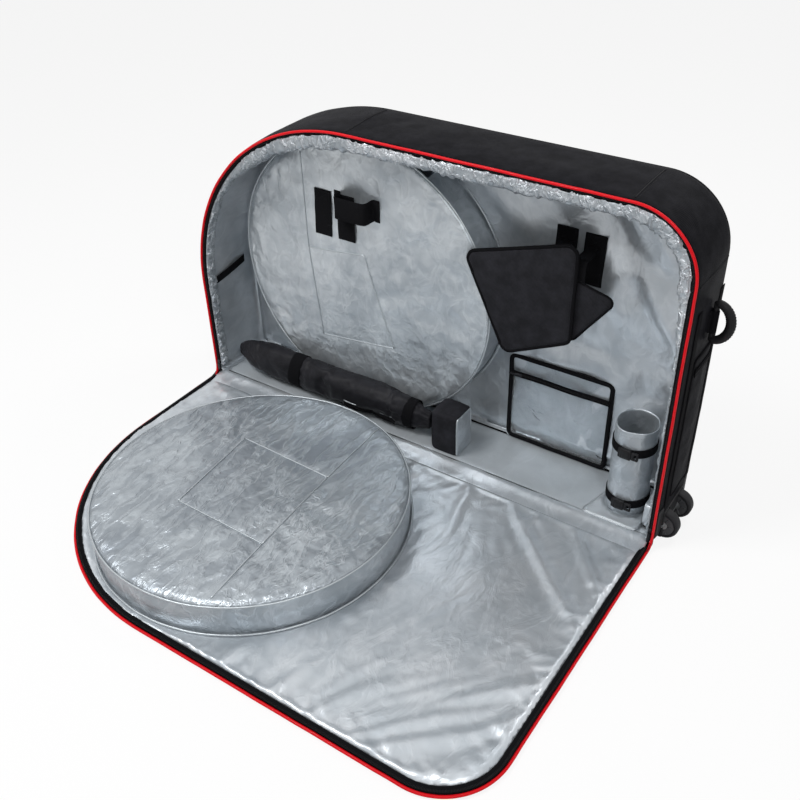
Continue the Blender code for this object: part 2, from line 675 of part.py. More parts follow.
def build_wheel_housing():
    low = (HOUSING_LEFT, -HOUSING_HALF_WIDTH, HOUSING_FLOOR_GAP)
    high = (HOUSING_RIGHT, HOUSING_HALF_WIDTH, HOUSING_TOP)
    housing = make_box("wheel_housing", low, high, black_plastic, HOUSING_BEVEL)
    for name, y in (("front", -WHEEL_Y), ("rear", WHEEL_Y)):
        low = (WELL_LEFT, y - WELL_HALF_WIDTH, -CUT_OVERRUN)
        high = (RIGHT_X + CUT_OVERRUN, y + WELL_HALF_WIDTH, WELL_TOP)
        well = make_cutter(make_box("well_" + name, low, high, black_plastic), "well_" + name)
        cut_by(housing, well)
    bore = make_cylinder("axle_bore", AXLE_RADIUS + GAP, 2 * (HOUSING_HALF_WIDTH + CUT_OVERRUN),
                         (AXLE_X, 0, WHEEL_RADIUS), (0, 1, 0), black_plastic, ROUND_STEPS)
    cut_by(housing, make_cutter(bore, "axle_bore"))


def build_well_cover(guide):
    left = HOUSING_LEFT - GAP - WELL_COVER_WALL
    half_width = HOUSING_HALF_WIDTH + GAP + WELL_COVER_WALL
    low = (left, -half_width, FLOOR_Z)
    high = (RIGHT_X, half_width, HOUSING_TOP + GAP + WELL_COVER_WALL)
    cover = make_box("wheel_well_cover", low, high, silver_lining)
    cut_by(cover, guide, "INTERSECT")
    low = (HOUSING_LEFT - GAP, -HOUSING_HALF_WIDTH - GAP, -CUT_OVERRUN)
    high = (RIGHT_X + CUT_OVERRUN, HOUSING_HALF_WIDTH + GAP, HOUSING_TOP + GAP)
    hollow = make_cutter(make_box("cover_hollow", low, high, black_plastic), "cover_hollow")
    cut_by(cover, hollow)


def build_drivetrain_sleeve():
    start, end = SLEEVE_X
    band = SLEEVE_STRAP_THICKNESS + GAP
    middle_y = CONTENT_FRONT_Y + band + SLEEVE_HALF_WIDTH
    middle_z = BOARD_TOP_Z + GAP + band + SLEEVE_HALF_HEIGHT
    points = []
    shares = []
    for step in range(SLEEVE_STEPS + 1):
        along = step / SLEEVE_STEPS
        # rounded left end, full middle and a gathered right end
        into_end = max(0, 1 - along / SLEEVE_ROUND_END_SHARE)
        into_gather = max(0, 1 - (1 - along) / SLEEVE_GATHER_SHARE)
        round_share = max(SLEEVE_LEAST_SHARE, math.sqrt(1 - into_end ** 2))
        shares.append(round_share * (1 - SLEEVE_GATHER_DEPTH_SHARE * into_gather ** 2))
        points.append((start + (end - start) * along, 0, 0))
    tube = make_tube("drivetrain_sleeve", points, SLEEVE_HALF_HEIGHT, black_polyester,
                     shares=shares, resolution=4)
    tube.scale = (1, SLEEVE_HALF_WIDTH / SLEEVE_HALF_HEIGHT, 1)
    tube.location = (0, middle_y, middle_z)
    loops = []
    for extra in (band, GAP):
        ring = []
        for x, y in circle(0, 0, 1, ROUND_STEPS):
            ring.append((middle_y + x * (SLEEVE_HALF_WIDTH + extra),
                         middle_z + y * (SLEEVE_HALF_HEIGHT + extra)))
        loops.append(ring)
    strap = make_plate("sleeve_strap", loops, SLEEVE_STRAP_WIDTH, black_webbing)
    strap.rotation_euler = (math.pi / 2, 0, math.pi / 2)
    strap.location = (SLEEVE_STRAP_X, 0, 0)


def build_frame_block():
    low = (BLOCK_X[0], CONTENT_FRONT_Y, BOARD_TOP_Z + GAP)
    high = (BLOCK_X[1], CONTENT_FRONT_Y + BLOCK_WIDTH, BOARD_TOP_Z + GAP + BLOCK_HEIGHT)
    make_box("frame_block", low, high, black_polyester, BLOCK_BEVEL)


def build_frame_pad():
    front = PAD_BACK_Y - PAD_THICKNESS
    corners = [(PAD_LOWER_LEFT, PAD_BOTTOM_LEFT_Z), (PAD_RIGHT, PAD_BOTTOM_RIGHT_Z),
               (PAD_RIGHT, PAD_TOP_RIGHT_Z), (PAD_LEFT, PAD_TOP_LEFT_Z)]
    outline = rounded_polygon(corners, PAD_CORNER, PAD_CORNER_STEPS)
    pad = make_wall("frame_pad", [outline], front, PAD_BACK_Y, black_polyester)
    strap_back = PAD_BACK_Y + GAP + WEBBING
    corners = [(WING_LEFT, WING_LOW_Z), (PAD_RIGHT, PAD_BOTTOM_RIGHT_Z), (WING_RIGHT, WING_SIDE_Z),
               (WING_LEFT, WING_TOP_Z)]
    outline = rounded_polygon(corners, WING_CORNER, PAD_CORNER_STEPS)
    wing = make_wall("frame_pad_wing", [outline], PAD_BACK_Y + GAP, PAD_BACK_Y + GAP + WING_THICKNESS,
                     black_polyester)
    end_y = WALL_ANCHOR_FRONT_Y - PAD_STRAP_END_GAP
    pivot = make_hinge("frame_pad_line", (0, end_y - WEBBING / 2, PAD_STRAP_Z))
    low_z = PAD_STRAP_Z - PAD_STRAP_RUN / 2
    high_z = PAD_STRAP_Z + WEBBING / 2
    profile = [(PAD_BACK_Y + GAP, low_z), (strap_back, low_z), (strap_back, high_z - WEBBING),
               (end_y, high_z - WEBBING), (end_y, high_z), (PAD_BACK_Y + GAP, high_z)]
    hanger_width = WALL_ANCHOR_X[1] - WALL_ANCHOR_X[0] + PAD_STRAP_WIDTH
    hanger = make_plate("frame_pad_hanger", [profile], hanger_width, black_webbing)
    hanger.rotation_euler = (math.pi / 2, 0, math.pi / 2)
    hanger.location = (sum(WALL_ANCHOR_X) / 2, 0, 0)
    carry(pivot, [pad, wing, hanger])


def build_end_handle():
    ring = []
    shares = []
    rod_share = HANDLE_ROD_RADIUS / HANDLE_GRIP_RADIUS
    straight = HANDLE_HALF_HEIGHT - HANDLE_GRIP_RADIUS
    for step in range(HANDLE_STEPS + 1):
        angle = -math.pi / 2 + math.pi * step / HANDLE_STEPS
        ring.append((HANDLE_PIVOT_X + HANDLE_REACH * math.cos(angle), HANDLE_Y,
                     HANDLE_Z + HANDLE_HALF_HEIGHT * math.sin(angle)))
        shares.append(rod_share + (1 - rod_share) * math.cos(angle))
    for sign in (1, -1):
        ring.append((HANDLE_PIVOT_X, HANDLE_Y, HANDLE_Z + sign * straight))
        shares.append(rod_share)
    loop = make_tube("end_handle", ring, HANDLE_GRIP_RADIUS, rubber_black, cyclic=True,
                     shares=shares, resolution=2)
    carry(make_hinge("end_handle_line", (HANDLE_PIVOT_X, HANDLE_Y, HANDLE_Z)), [loop])
    plate_left = RIGHT_X + GAP
    low = (plate_left, HANDLE_Y - HANDLE_TAB_WIDTH / 2, HANDLE_Z - HANDLE_TAB_HEIGHT / 2)
    high = (plate_left + HANDLE_TAB_PLATE, HANDLE_Y + HANDLE_TAB_WIDTH / 2,
            HANDLE_Z + HANDLE_TAB_HEIGHT / 2)
    tab = make_box("handle_tab", low, high, black_webbing)
    center = (HANDLE_PIVOT_X, HANDLE_Y, HANDLE_Z)
    bore_radius = HANDLE_ROD_RADIUS + HANDLE_BORE_CLEARANCE
    sleeve = make_cylinder("handle_tab_sleeve", bore_radius + HANDLE_TAB_WALL, HANDLE_TAB_HEIGHT,
                           center, (0, 0, 1), black_webbing, SMALL_STEPS)
    cut_by(tab, make_cutter(sleeve, "handle_tab_sleeve"), "UNION")
    bore = make_cylinder("handle_bore", bore_radius, HANDLE_TAB_HEIGHT + CUT_OVERRUN, center,
                         (0, 0, 1), black_webbing, SMALL_STEPS)
    cut_by(tab, make_cutter(bore, "handle_bore"))


def build_bag():
    corner = wheel_well_cutter()
    guide = inside_guide()
    build_back_panel()
    build_gusset(corner)
    build_opening_trim()
    build_base()
    door_pivot = build_door()
    build_door_pocket(door_pivot)
    build_zip_slider("left", -1)
    build_zip_slider("right", 1)
    build_wall_pocket()
    build_anchors()
    build_seatpost_strap()
    build_clear_pocket()
    build_holster()
    build_wheels()
    build_wheel_housing()
    build_well_cover(guide)
    build_drivetrain_sleeve()
    build_frame_block()
    build_frame_pad()
    build_end_handle()


build_bag()
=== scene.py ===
# Looks of the soft bike travel bag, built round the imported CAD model.
# Metres, +Z up. +X is the wheeled end and +Y goes from the opening to the back panel.
import math

import bmesh
import bpy
import numpy as np
from mathutils import Matrix, Vector, bvhtree, geometry


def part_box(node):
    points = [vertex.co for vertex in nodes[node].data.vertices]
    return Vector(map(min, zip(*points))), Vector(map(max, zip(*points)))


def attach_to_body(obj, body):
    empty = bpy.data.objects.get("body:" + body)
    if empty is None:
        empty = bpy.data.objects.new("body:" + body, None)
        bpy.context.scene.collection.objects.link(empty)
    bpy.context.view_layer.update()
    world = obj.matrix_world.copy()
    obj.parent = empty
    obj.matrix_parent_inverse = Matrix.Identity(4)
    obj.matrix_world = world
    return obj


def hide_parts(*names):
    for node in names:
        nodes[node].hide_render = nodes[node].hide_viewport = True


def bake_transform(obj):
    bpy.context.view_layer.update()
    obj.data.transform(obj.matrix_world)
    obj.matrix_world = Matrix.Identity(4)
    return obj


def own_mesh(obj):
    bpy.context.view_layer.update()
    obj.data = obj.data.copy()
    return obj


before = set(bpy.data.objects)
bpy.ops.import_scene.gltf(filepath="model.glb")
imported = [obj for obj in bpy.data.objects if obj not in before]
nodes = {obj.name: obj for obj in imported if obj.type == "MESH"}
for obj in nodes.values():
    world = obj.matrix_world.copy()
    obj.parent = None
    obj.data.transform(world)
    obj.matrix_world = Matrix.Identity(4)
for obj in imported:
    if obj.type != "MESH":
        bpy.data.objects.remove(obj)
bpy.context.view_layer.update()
scene = bpy.context.scene

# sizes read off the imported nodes, so that every cloth piece lines up with them
shellLow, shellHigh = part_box("gusset_fabric")
bag = dict(
    left=shellLow.x, right=shellHigh.x, bottom=shellLow.z, top=shellHigh.z,
    front=shellLow.y, back=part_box("back_panel_fabric")[1].y,
    topLeftRadius=0.500, topRightRadius=0.145, bottomRadius=0.030,
    gap=0.0003, layers=0.0116,  # the wall is outer cloth, foam and lining with their gaps
    hingeY=-0.103, hingeZ=0.0116, trimStart=0.0353, panelInset=0.0073,
)
bag["innerBack"] = bag["back"] - bag["layers"]
bag["floor"] = bag["bottom"] + bag["layers"]


# small tools

def attach(piece, body, *solids, slot=None):
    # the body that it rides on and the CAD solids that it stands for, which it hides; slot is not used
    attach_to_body(piece, body)
    if solids:
        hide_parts(*solids)


def hexColor(text):
    # an sRGB hex value as the linear colour that a socket wants
    values = [int(text[i:i + 2], 16) / 255 for i in (1, 3, 5)]
    return tuple(v / 12.92 if v <= 0.04045 else ((v + 0.055) / 1.055) ** 2.4 for v in values) + (1.0,)


def addNode(tree, kind, inputs=None, **settings):
    # one node with its settings; an input is a value or another node's socket
    node = tree.nodes.new(kind)
    for key, value in settings.items():
        setattr(node, key, value)
    for key, value in (inputs or {}).items():
        if isinstance(value, bpy.types.NodeSocket):
            tree.links.new(value, node.inputs[key])
        else:
            node.inputs[key].default_value = value
    return node


def addObject(name, mesh, *materials, smooth=True):
    item = bpy.data.objects.new(name, mesh)
    scene.collection.objects.link(item)
    for material in materials:
        mesh.materials.append(material)
    mesh.shade_smooth() if smooth else mesh.shade_flat()
    return item


def meshPiece(name, points, faces, *materials, smooth=True, uv=None):
    mesh = bpy.data.meshes.new(name)
    mesh.from_pydata([tuple(p) for p in points], [], [tuple(f) for f in faces])
    mesh.update()
    if uv is not None:
        layer = mesh.uv_layers.new(name="UVMap")
        corners = np.empty(len(mesh.loops), np.int32)
        mesh.loops.foreach_get("vertex_index", corners)
        layer.data.foreach_set("uv", np.asarray(uv, np.float32)[corners].ravel())
    return addObject(name, mesh, *materials, smooth=smooth)


def coordsOf(item):
    coords = np.empty(len(item.data.vertices) * 3, np.float32)
    item.data.vertices.foreach_get("co", coords)
    return coords.reshape(-1, 3).astype(float)


def setCoords(item, coords):
    item.data.vertices.foreach_set("co", np.asarray(coords, np.float32).ravel())
    item.data.update()


def applyModifiers(item):
    # the modifiers' result becomes the piece's own mesh
    bpy.context.view_layer.update()
    graph = bpy.context.evaluated_depsgraph_get()
    mesh = bpy.data.meshes.new_from_object(item.evaluated_get(graph))
    item.modifiers.clear()
    item.data = mesh
    return item


def editMesh(item, edit):
    # edit is given the piece's mesh opened, and what it does is written back
    body = bmesh.new()
    body.from_mesh(item.data)
    edit(body)
    body.to_mesh(item.data)
    body.free()
    return item


def faceOutwards(item, merge=0.00002):
    def edit(body):
        if merge:
            bmesh.ops.remove_doubles(body, verts=body.verts, dist=merge)
        bmesh.ops.recalc_face_normals(body, faces=body.faces)

    return editMesh(item, edit)


def turnSheet(item, axis, way=1):
    # turns a thin sheet over where its faces look the wrong way along one axis
    if sum(face.normal[axis] * face.area for face in item.data.polygons) * way < 0:
        item.data.flip_normals()


def weld(item, distance=0.0001):
    editMesh(item, lambda body: bmesh.ops.remove_doubles(body, verts=body.verts, dist=distance))
    item.data.shade_smooth()
    return item


def thicken(item, thickness, offset=-1.0):
    solid = item.modifiers.new("thickness", "SOLIDIFY")
    solid.thickness = thickness
    solid.offset = offset
    return applyModifiers(item)


def smoothUp(item, levels=1):
    rounding = item.modifiers.new("rounding", "SUBSURF")
    rounding.levels = levels
    rounding.render_levels = levels
    rounding.uv_smooth = "NONE"
    return applyModifiers(item)


def refineTriangles(item):
    # one step of Loop subdivision, which is far quicker than the modifier on a large triangle mesh
    coords = coordsOf(item)
    corners = np.empty(len(item.data.loops), np.int32)
    item.data.loops.foreach_get("vertex_index", corners)
    corners = corners.reshape(-1, 3)
    sides = np.sort(np.vstack([corners[:, (0, 1)], corners[:, (1, 2)], corners[:, (2, 0)]]), axis=1)
    edges, number, shared = np.unique(sides, axis=0, return_inverse=True, return_counts=True)
    number = number.ravel()
    a, b = coords[edges[:, 0]], coords[edges[:, 1]]
    across = np.zeros((len(edges), 3))
    np.add.at(across, number, coords[np.concatenate([corners[:, 2], corners[:, 0], corners[:, 1]])])
    inner = (shared == 2)[:, None]
    middles = np.where(inner, 0.375 * (a + b) + 0.125 * across, 0.5 * (a + b))

    def around(chosen):
        total, count = np.zeros_like(coords), np.zeros(len(coords))
        for one, other in ((0, 1), (1, 0)):
            np.add.at(total, edges[chosen, one], coords[edges[chosen, other]])
            np.add.at(count, edges[chosen, one], 1)
        return total, count[:, None]

    total, count = around(np.ones(len(edges), bool))
    share = np.where(count > 3, 0.375 / np.maximum(count, 1), 0.1875)
    moved = coords * (1 - count * share) + total * share
    total, count = around(shared == 1)
    moved = np.where(count > 0, 0.75 * coords + 0.125 * total, moved)
    first, second, third = len(coords) + number.reshape(3, -1)
    faces = np.vstack([np.column_stack([corners[:, 0], first, third]), np.column_stack([corners[:, 1], second, first]),
                       np.column_stack([corners[:, 2], third, second]), np.column_stack([first, second, third])])
    mesh = bpy.data.meshes.new(item.name)
    mesh.from_pydata(np.vstack([moved, middles]).tolist(), [], faces.tolist())
    for material in item.data.materials:
        mesh.materials.append(material)
    mesh.shade_smooth()
    item.data = mesh
    return item


def wave(points, size, seed=0.0, octaves=2):
    # smooth noise of about -1 to 1, whose lumps are size metres across
    points = np.asarray(points, float)
    total = np.zeros(len(points))
    for octave in range(octaves):
        place = points * (2 ** octave / size) + np.array((7.31, 3.77, 5.19)) * (seed + 1 + 3 * octave)
        cell = np.floor(place).astype(np.int64)
        part = place - cell
        part = part ** 3 * (part * (part * 6 - 15) + 10)
        for corner in np.ndindex(2, 2, 2):
            x, y, z = (cell + corner).T
            mixed = (x * 73856093 ^ y * 19349663 ^ z * 83492791) & 0xFFFFFFFF
            mixed = ((mixed ^ (mixed >> 13)) * 1274126177) & 0xFFFFFFFF
            value = ((mixed ^ (mixed >> 16)) & 0xFFFF) / 32767.5 - 1
            total += 0.5 ** octave * value * np.prod(np.where(corner, part, 1 - part), axis=1)
    return total


def ridge(points, size, seed=0.0):
    # sharp creases, size metres apart, from 0 in the hollows to 1 on the crests
    return 1 - np.clip(np.abs(wave(points, size, seed, 2)) * 3.5, 0, 1)


def smoothStep(low, high, value):
    share = np.clip((np.asarray(value, float) - low) / (high - low), 0, 1)
    return share * share * (3 - 2 * share)


def raised(plane, height=0.0):
    # plane points with a third coordinate, one for all or one for each
    return np.column_stack([plane, np.broadcast_to(height, (len(plane),))])


def frontView(points, y):
    # plane points (x, z) stood up at one depth
    points = np.asarray(points, float)
    return np.column_stack([points[:, 0], np.broadcast_to(y, (len(points),)), points[:, 1]])


def circle(radius, angles):
    return radius * np.column_stack([np.cos(angles), np.sin(angles)])


def gridFaces(rows, columns, loop=False, ring=False):
    # quads between rows of points; loop joins the last row to the first, and ring closes each row
    return [(i * columns + j, (i + 1) % rows * columns + j, (i + 1) % rows * columns + (j + 1) % columns,
             i * columns + (j + 1) % columns)
            for i in range(rows if loop else rows - 1) for j in range(columns if ring else columns - 1)]


def turnedOver(faces):
    return [(a, d, c, b) for a, b, c, d in faces]


# the bag's outline

def outlineSamples(spacing, start=None):
    # points of the outline and their inward normals, up the left side, over the top and down the right side;
    # closed round the bottom where no start height is given
    left, right, bottom, top = bag["left"], bag["right"], bag["bottom"], bag["top"]
    low, wide, tight = bag["bottomRadius"], bag["topLeftRadius"], bag["topRightRadius"]
    closed = start is None
    foot = bottom + low if closed else start
    runs = [("line", (left, foot), (left, top - wide)),
            ("arc", (left + wide, top - wide), wide, 180, 90),
            ("line", (left + wide, top), (right - tight, top)),
            ("arc", (right - tight, top - tight), tight, 90, 0),
            ("line", (right, top - tight), (right, foot))]
    if closed:
        runs += [("arc", (right - low, bottom + low), low, 0, -90),
                 ("line", (right - low, bottom), (left + low, bottom)),
                 ("arc", (left + low, bottom + low), low, 270, 180)]
    points, normals = [], []
    for kind, begin, *rest in runs:
        if kind == "line":
            a, b = np.array(begin), np.array(rest[0])
            count = max(1, round(np.linalg.norm(b - a) / spacing))
            along = (b - a) / np.linalg.norm(b - a)
            points += [a + (b - a) * step / count for step in range(count)]
            normals += [(along[1], -along[0])] * count
        else:
            radius, first, last = rest
            count = max(4, round(radius * math.radians(abs(last - first)) / spacing))
            for step in range(count):
                angle = math.radians(first + (last - first) * step / count)
                ray = np.array((math.cos(angle), math.sin(angle)))
                points.append(np.array(begin) + radius * ray)
                normals.append(-ray)
    if not closed:
        points.append(np.array(runs[-1][2]))
        normals.append(normals[-1])
    return np.array(points), np.array(normals)


def outlinePath(inset, y, spacing=0.010, start=None):
    points, normals = outlineSamples(spacing, start)
    return frontView(points + normals * inset, y)


def sweepOutline(name, spacing, profile, *materials, start=None, shape=None, ring=False):
    # profile is a list of (inset, y), closed where ring is set; shape may move the points, given them, the run along
    # the outline and the inward normals
    points, normals = outlineSamples(spacing, start)
    closed = start is None
    count, steps = len(points), len(profile)
    run = np.concatenate([[0], np.cumsum(np.linalg.norm(np.diff(points, axis=0), axis=1))])
    width = np.concatenate([[0], np.cumsum([math.dist(profile[i], profile[i + 1]) for i in range(steps - 1)])])
    coords, uv = [], []
    for i in range(count):
        for j, (inset, y) in enumerate(profile):
            p = points[i] + normals[i] * inset
            coords.append((p[0], y, p[1]))
            uv.append((run[i], width[j]))
    coords = np.array(coords)
    if shape is not None:
        coords = shape(coords, np.repeat(run, steps), np.repeat(normals, steps, axis=0))
    faces = gridFaces(count, steps, closed, ring)
    if ring and not closed:
        faces += [tuple(range(steps)), tuple(range((count - 1) * steps, count * steps))]
    item = meshPiece(name, coords, faces, *materials, uv=uv)
    return faceOutwards(item) if ring else item


def fillOutline(boundary, spacing, holes=()):
    # evenly spaced triangles inside a plane outline; the first points are the boundary's own
    boundary = [np.asarray(loop, float) for loop in (boundary, *holes)]
    corners = np.concatenate(boundary)
    edges = []
    base = 0
    for loop in boundary:
        edges += [(base + i, base + (i + 1) % len(loop)) for i in range(len(loop))]
        base += len(loop)
    low, high = boundary[0].min(0), boundary[0].max(0)
    rise = 0.866  # height of an even triangle of side 1
    rows = int((high[1] - low[1]) / (spacing * rise)) + 1
    columns = int((high[0] - low[0]) / spacing) + 2
    grid = np.array([(low[0] + (c + 0.5 * (r % 2)) * spacing, low[1] + r * spacing * rise)
                     for r in range(rows) for c in range(columns)])
    keep = insideLoops(grid, boundary)
    keep &= distanceToLoops(grid, boundary) > spacing * 0.55
    inner = grid[keep]
    every = [Vector(p) for p in np.concatenate([corners, inner])]
    made = geometry.delaunay_2d_cdt(every, edges, [], 1, 0.00001)
    points = np.array([tuple(p) for p in made[0]])
    faces = [list(face) for face in made[2]]
    if len(holes):
        centers = np.array([points[face].mean(0) for face in faces])
        wanted = insideLoops(centers, boundary)
        faces = [face for face, good in zip(faces, wanted) if good]
    return points, faces


def insideLoops(points, loops):
    inside = np.zeros(len(points), bool)
    for loop in loops:
        a, b = loop, np.roll(loop, -1, axis=0)
        for (x0, y0), (x1, y1) in zip(a, b):
            if y0 == y1:
                continue
            crosses = (points[:, 1] > min(y0, y1)) & (points[:, 1] <= max(y0, y1))
            x = x0 + (points[:, 1] - y0) * (x1 - x0) / (y1 - y0)
            inside ^= crosses & (x > points[:, 0])
    return inside


def lineDistance(points, lines):
    # how far plane points are from the nearest of some straight lines
    best = np.full(len(points), 9.0)
    for a, b in lines:
        d = np.subtract(b, a)
        t = np.clip(((points - a) @ d) / max(d @ d, 1e-12), 0, 1)
        best = np.minimum(best, np.linalg.norm(points - a - t[:, None] * d, axis=1))
    return best


def distanceToLoops(points, loops):
    return lineDistance(points, [pair for loop in loops for pair in zip(loop, np.roll(loop, -1, axis=0))])


# cloth simulation

def settleCloth(item, held, growth, frames=20, gravity=(0, 0, 0), stiffness=12.0, bending=0.3,
                pressure=0.0, under=(), limit=None):
    # a sheet cut a little too large for its seams buckles into real folds; held gives each point's hold, 0 to 1
    start = coordsOf(item)
    group = item.vertex_groups.new(name="held")
    for index in np.nonzero(np.asarray(held) > 0)[0]:
        group.add([int(index)], float(held[index]), "REPLACE")
    cloth = item.modifiers.new("cloth", "CLOTH")
    given = dict(vertex_group_mass=group.name, quality=4, mass=0.25, tension_stiffness=stiffness,
                 compression_stiffness=stiffness, shear_stiffness=stiffness / 2, bending_stiffness=bending,
                 shrink_min=-growth, shrink_max=-growth, pin_stiffness=8)
    if pressure:
        given.update(use_pressure=True, uniform_pressure_force=pressure)
    for key, value in given.items():
        setattr(cloth.settings, key, value)
    cloth.settings.effector_weights.gravity = 1 if any(gravity) else 0
    cloth.collision_settings.use_self_collision = False
    cloth.collision_settings.use_collision = bool(under)
    cloth.collision_settings.distance_min = 0.002
    for solid in under:
        solid.modifiers.new("collision", "COLLISION")
        solid.collision.thickness_outer = 0.002
    scene.gravity = gravity
    cloth.point_cache.frame_start = 1
    cloth.point_cache.frame_end = frames
    for step in range(1, frames + 1):
        scene.frame_set(step)
    applyModifiers(item)
    scene.frame_set(1)
    for solid in under:
        solid.modifiers.clear()
    if limit:
        moved = coordsOf(item) - start
        length = np.maximum(np.linalg.norm(moved, axis=1), 1e-9)
        setCoords(item, start + moved * (np.minimum(length, limit) / length)[:, None])
    return item


# materials; each comment says what the real stuff gives the eye

def newMaterial(name, color, roughness, metallic=0.0):
    material = bpy.data.materials.new(name)
    material.use_nodes = True
    tree = material.node_tree
    shader = tree.nodes["Principled BSDF"]
    shader.inputs["Base Color"].default_value = hexColor(color)
    shader.inputs["Roughness"].default_value = roughness
    shader.inputs["Metallic"].default_value = metallic
    return material, tree, shader


def aluminisedLining(name, color="#D3D8DC", shade="#A4ABB1", crease=0.030, depth=0.0014, roughness=0.36,
                     metallic=0.60, creaseLinesAndHighlight=0.5, drawn=0.42):
    # polyester cloth with an aluminium film: a satin metal sheen that breaks up along fine creases; its colour is
    # painted brighter along the crease lines and darker where the crumples meet, as painted highlight and painted
    # shade, on a random tone
    material, tree, shader = newMaterial(name, color, roughness, metallic)
    place = addNode(tree, "ShaderNodeTexCoord").outputs["Object"]
    patch = addNode(tree, "ShaderNodeTexNoise", {"Vector": place, "Scale": 6.0, "Detail": 3.0})
    # soft crumples as wide as crease, then thin sharp creases that run mostly one way
    bent = addNode(tree, "ShaderNodeTexNoise", {"Vector": place, "Scale": 0.5 / crease, "Detail": 3.0})
    pushed = addNode(tree, "ShaderNodeVectorMath", {0: bent.outputs["Color"], 1: (crease, crease, crease), 2: place},
                     operation="MULTIPLY_ADD")
    crumple = addNode(tree, "ShaderNodeTexVoronoi", {"Vector": pushed.outputs["Vector"], "Scale": 1.0 / crease,
                                                     "Detail": 1.0, "Roughness": 0.5, "Smoothness": 0.2},
                      feature="SMOOTH_F1")
    turned = addNode(tree, "ShaderNodeMapping", {"Vector": pushed.outputs["Vector"], "Rotation": (0.3, 0.2, 0.5),
                                                 "Scale": (1.0, drawn, 0.7)})
    lines = addNode(tree, "ShaderNodeTexNoise", {"Vector": turned.outputs["Vector"], "Scale": 0.8 / crease,
                                                 "Detail": 4.0, "Roughness": 0.55, "Distortion": 0.6})
    middle = addNode(tree, "ShaderNodeMath", {0: lines.outputs["Fac"], 1: 0.5}, operation="SUBTRACT")
    middle = addNode(tree, "ShaderNodeMath", {0: middle.outputs["Value"]}, operation="ABSOLUTE")
    sharp = addNode(tree, "ShaderNodeMapRange", {"Value": middle.outputs["Value"], "From Min": 0.0, "From Max": 0.09,
                                                 "To Min": 1.0, "To Max": 0.0})
    # painted highlight along the crease lines and painted shade where the crumples meet, added to a random tone in
    # broad patches
    toneAndPaintedLight = addNode(tree, "ShaderNodeMath", {0: sharp.outputs["Result"], 1: 0.42 * creaseLinesAndHighlight, 2: patch.outputs["Fac"]},
                   operation="MULTIPLY_ADD")
    toneAndPaintedLight = addNode(tree, "ShaderNodeMath", {0: crumple.outputs["Distance"], 1: -0.16, 2: toneAndPaintedLight.outputs["Value"]},
                   operation="MULTIPLY_ADD")
    ramp = addNode(tree, "ShaderNodeValToRGB", {"Fac": toneAndPaintedLight.outputs["Value"]})
    ramp.color_ramp.elements[0].position, ramp.color_ramp.elements[0].color = 0.26, hexColor(shade)
    ramp.color_ramp.elements[1].position, ramp.color_ramp.elements[1].color = 0.92, hexColor(color)
    tree.links.new(ramp.outputs["Color"], shader.inputs["Base Color"])
    rubbed = addNode(tree, "ShaderNodeMapRange", {"Value": patch.outputs["Fac"], "From Min": 0.3, "From Max": 0.7,
                                                  "To Min": roughness + 0.06, "To Max": roughness - 0.06})
    tree.links.new(rubbed.outputs["Result"], shader.inputs["Roughness"])
    # the grain of the cloth under the film, 2.4 mm
    film = addNode(tree, "ShaderNodeTexNoise", {"Vector": place, "Scale": 420.0, "Detail": 2.0})
    broad = addNode(tree, "ShaderNodeBump", {"Height": crumple.outputs["Distance"], "Strength": 0.60,
                                             "Distance": depth})
    small = addNode(tree, "ShaderNodeBump", {"Height": sharp.outputs["Result"], "Strength": creaseLinesAndHighlight,
                                             "Distance": depth, "Normal": broad.outputs["Normal"]})
    fine = addNode(tree, "ShaderNodeBump", {"Height": film.outputs["Fac"], "Strength": 0.10, "Distance": 0.0004,
                                            "Normal": small.outputs["Normal"]})
    tree.links.new(fine.outputs["Normal"], shader.inputs["Normal"])
    return material


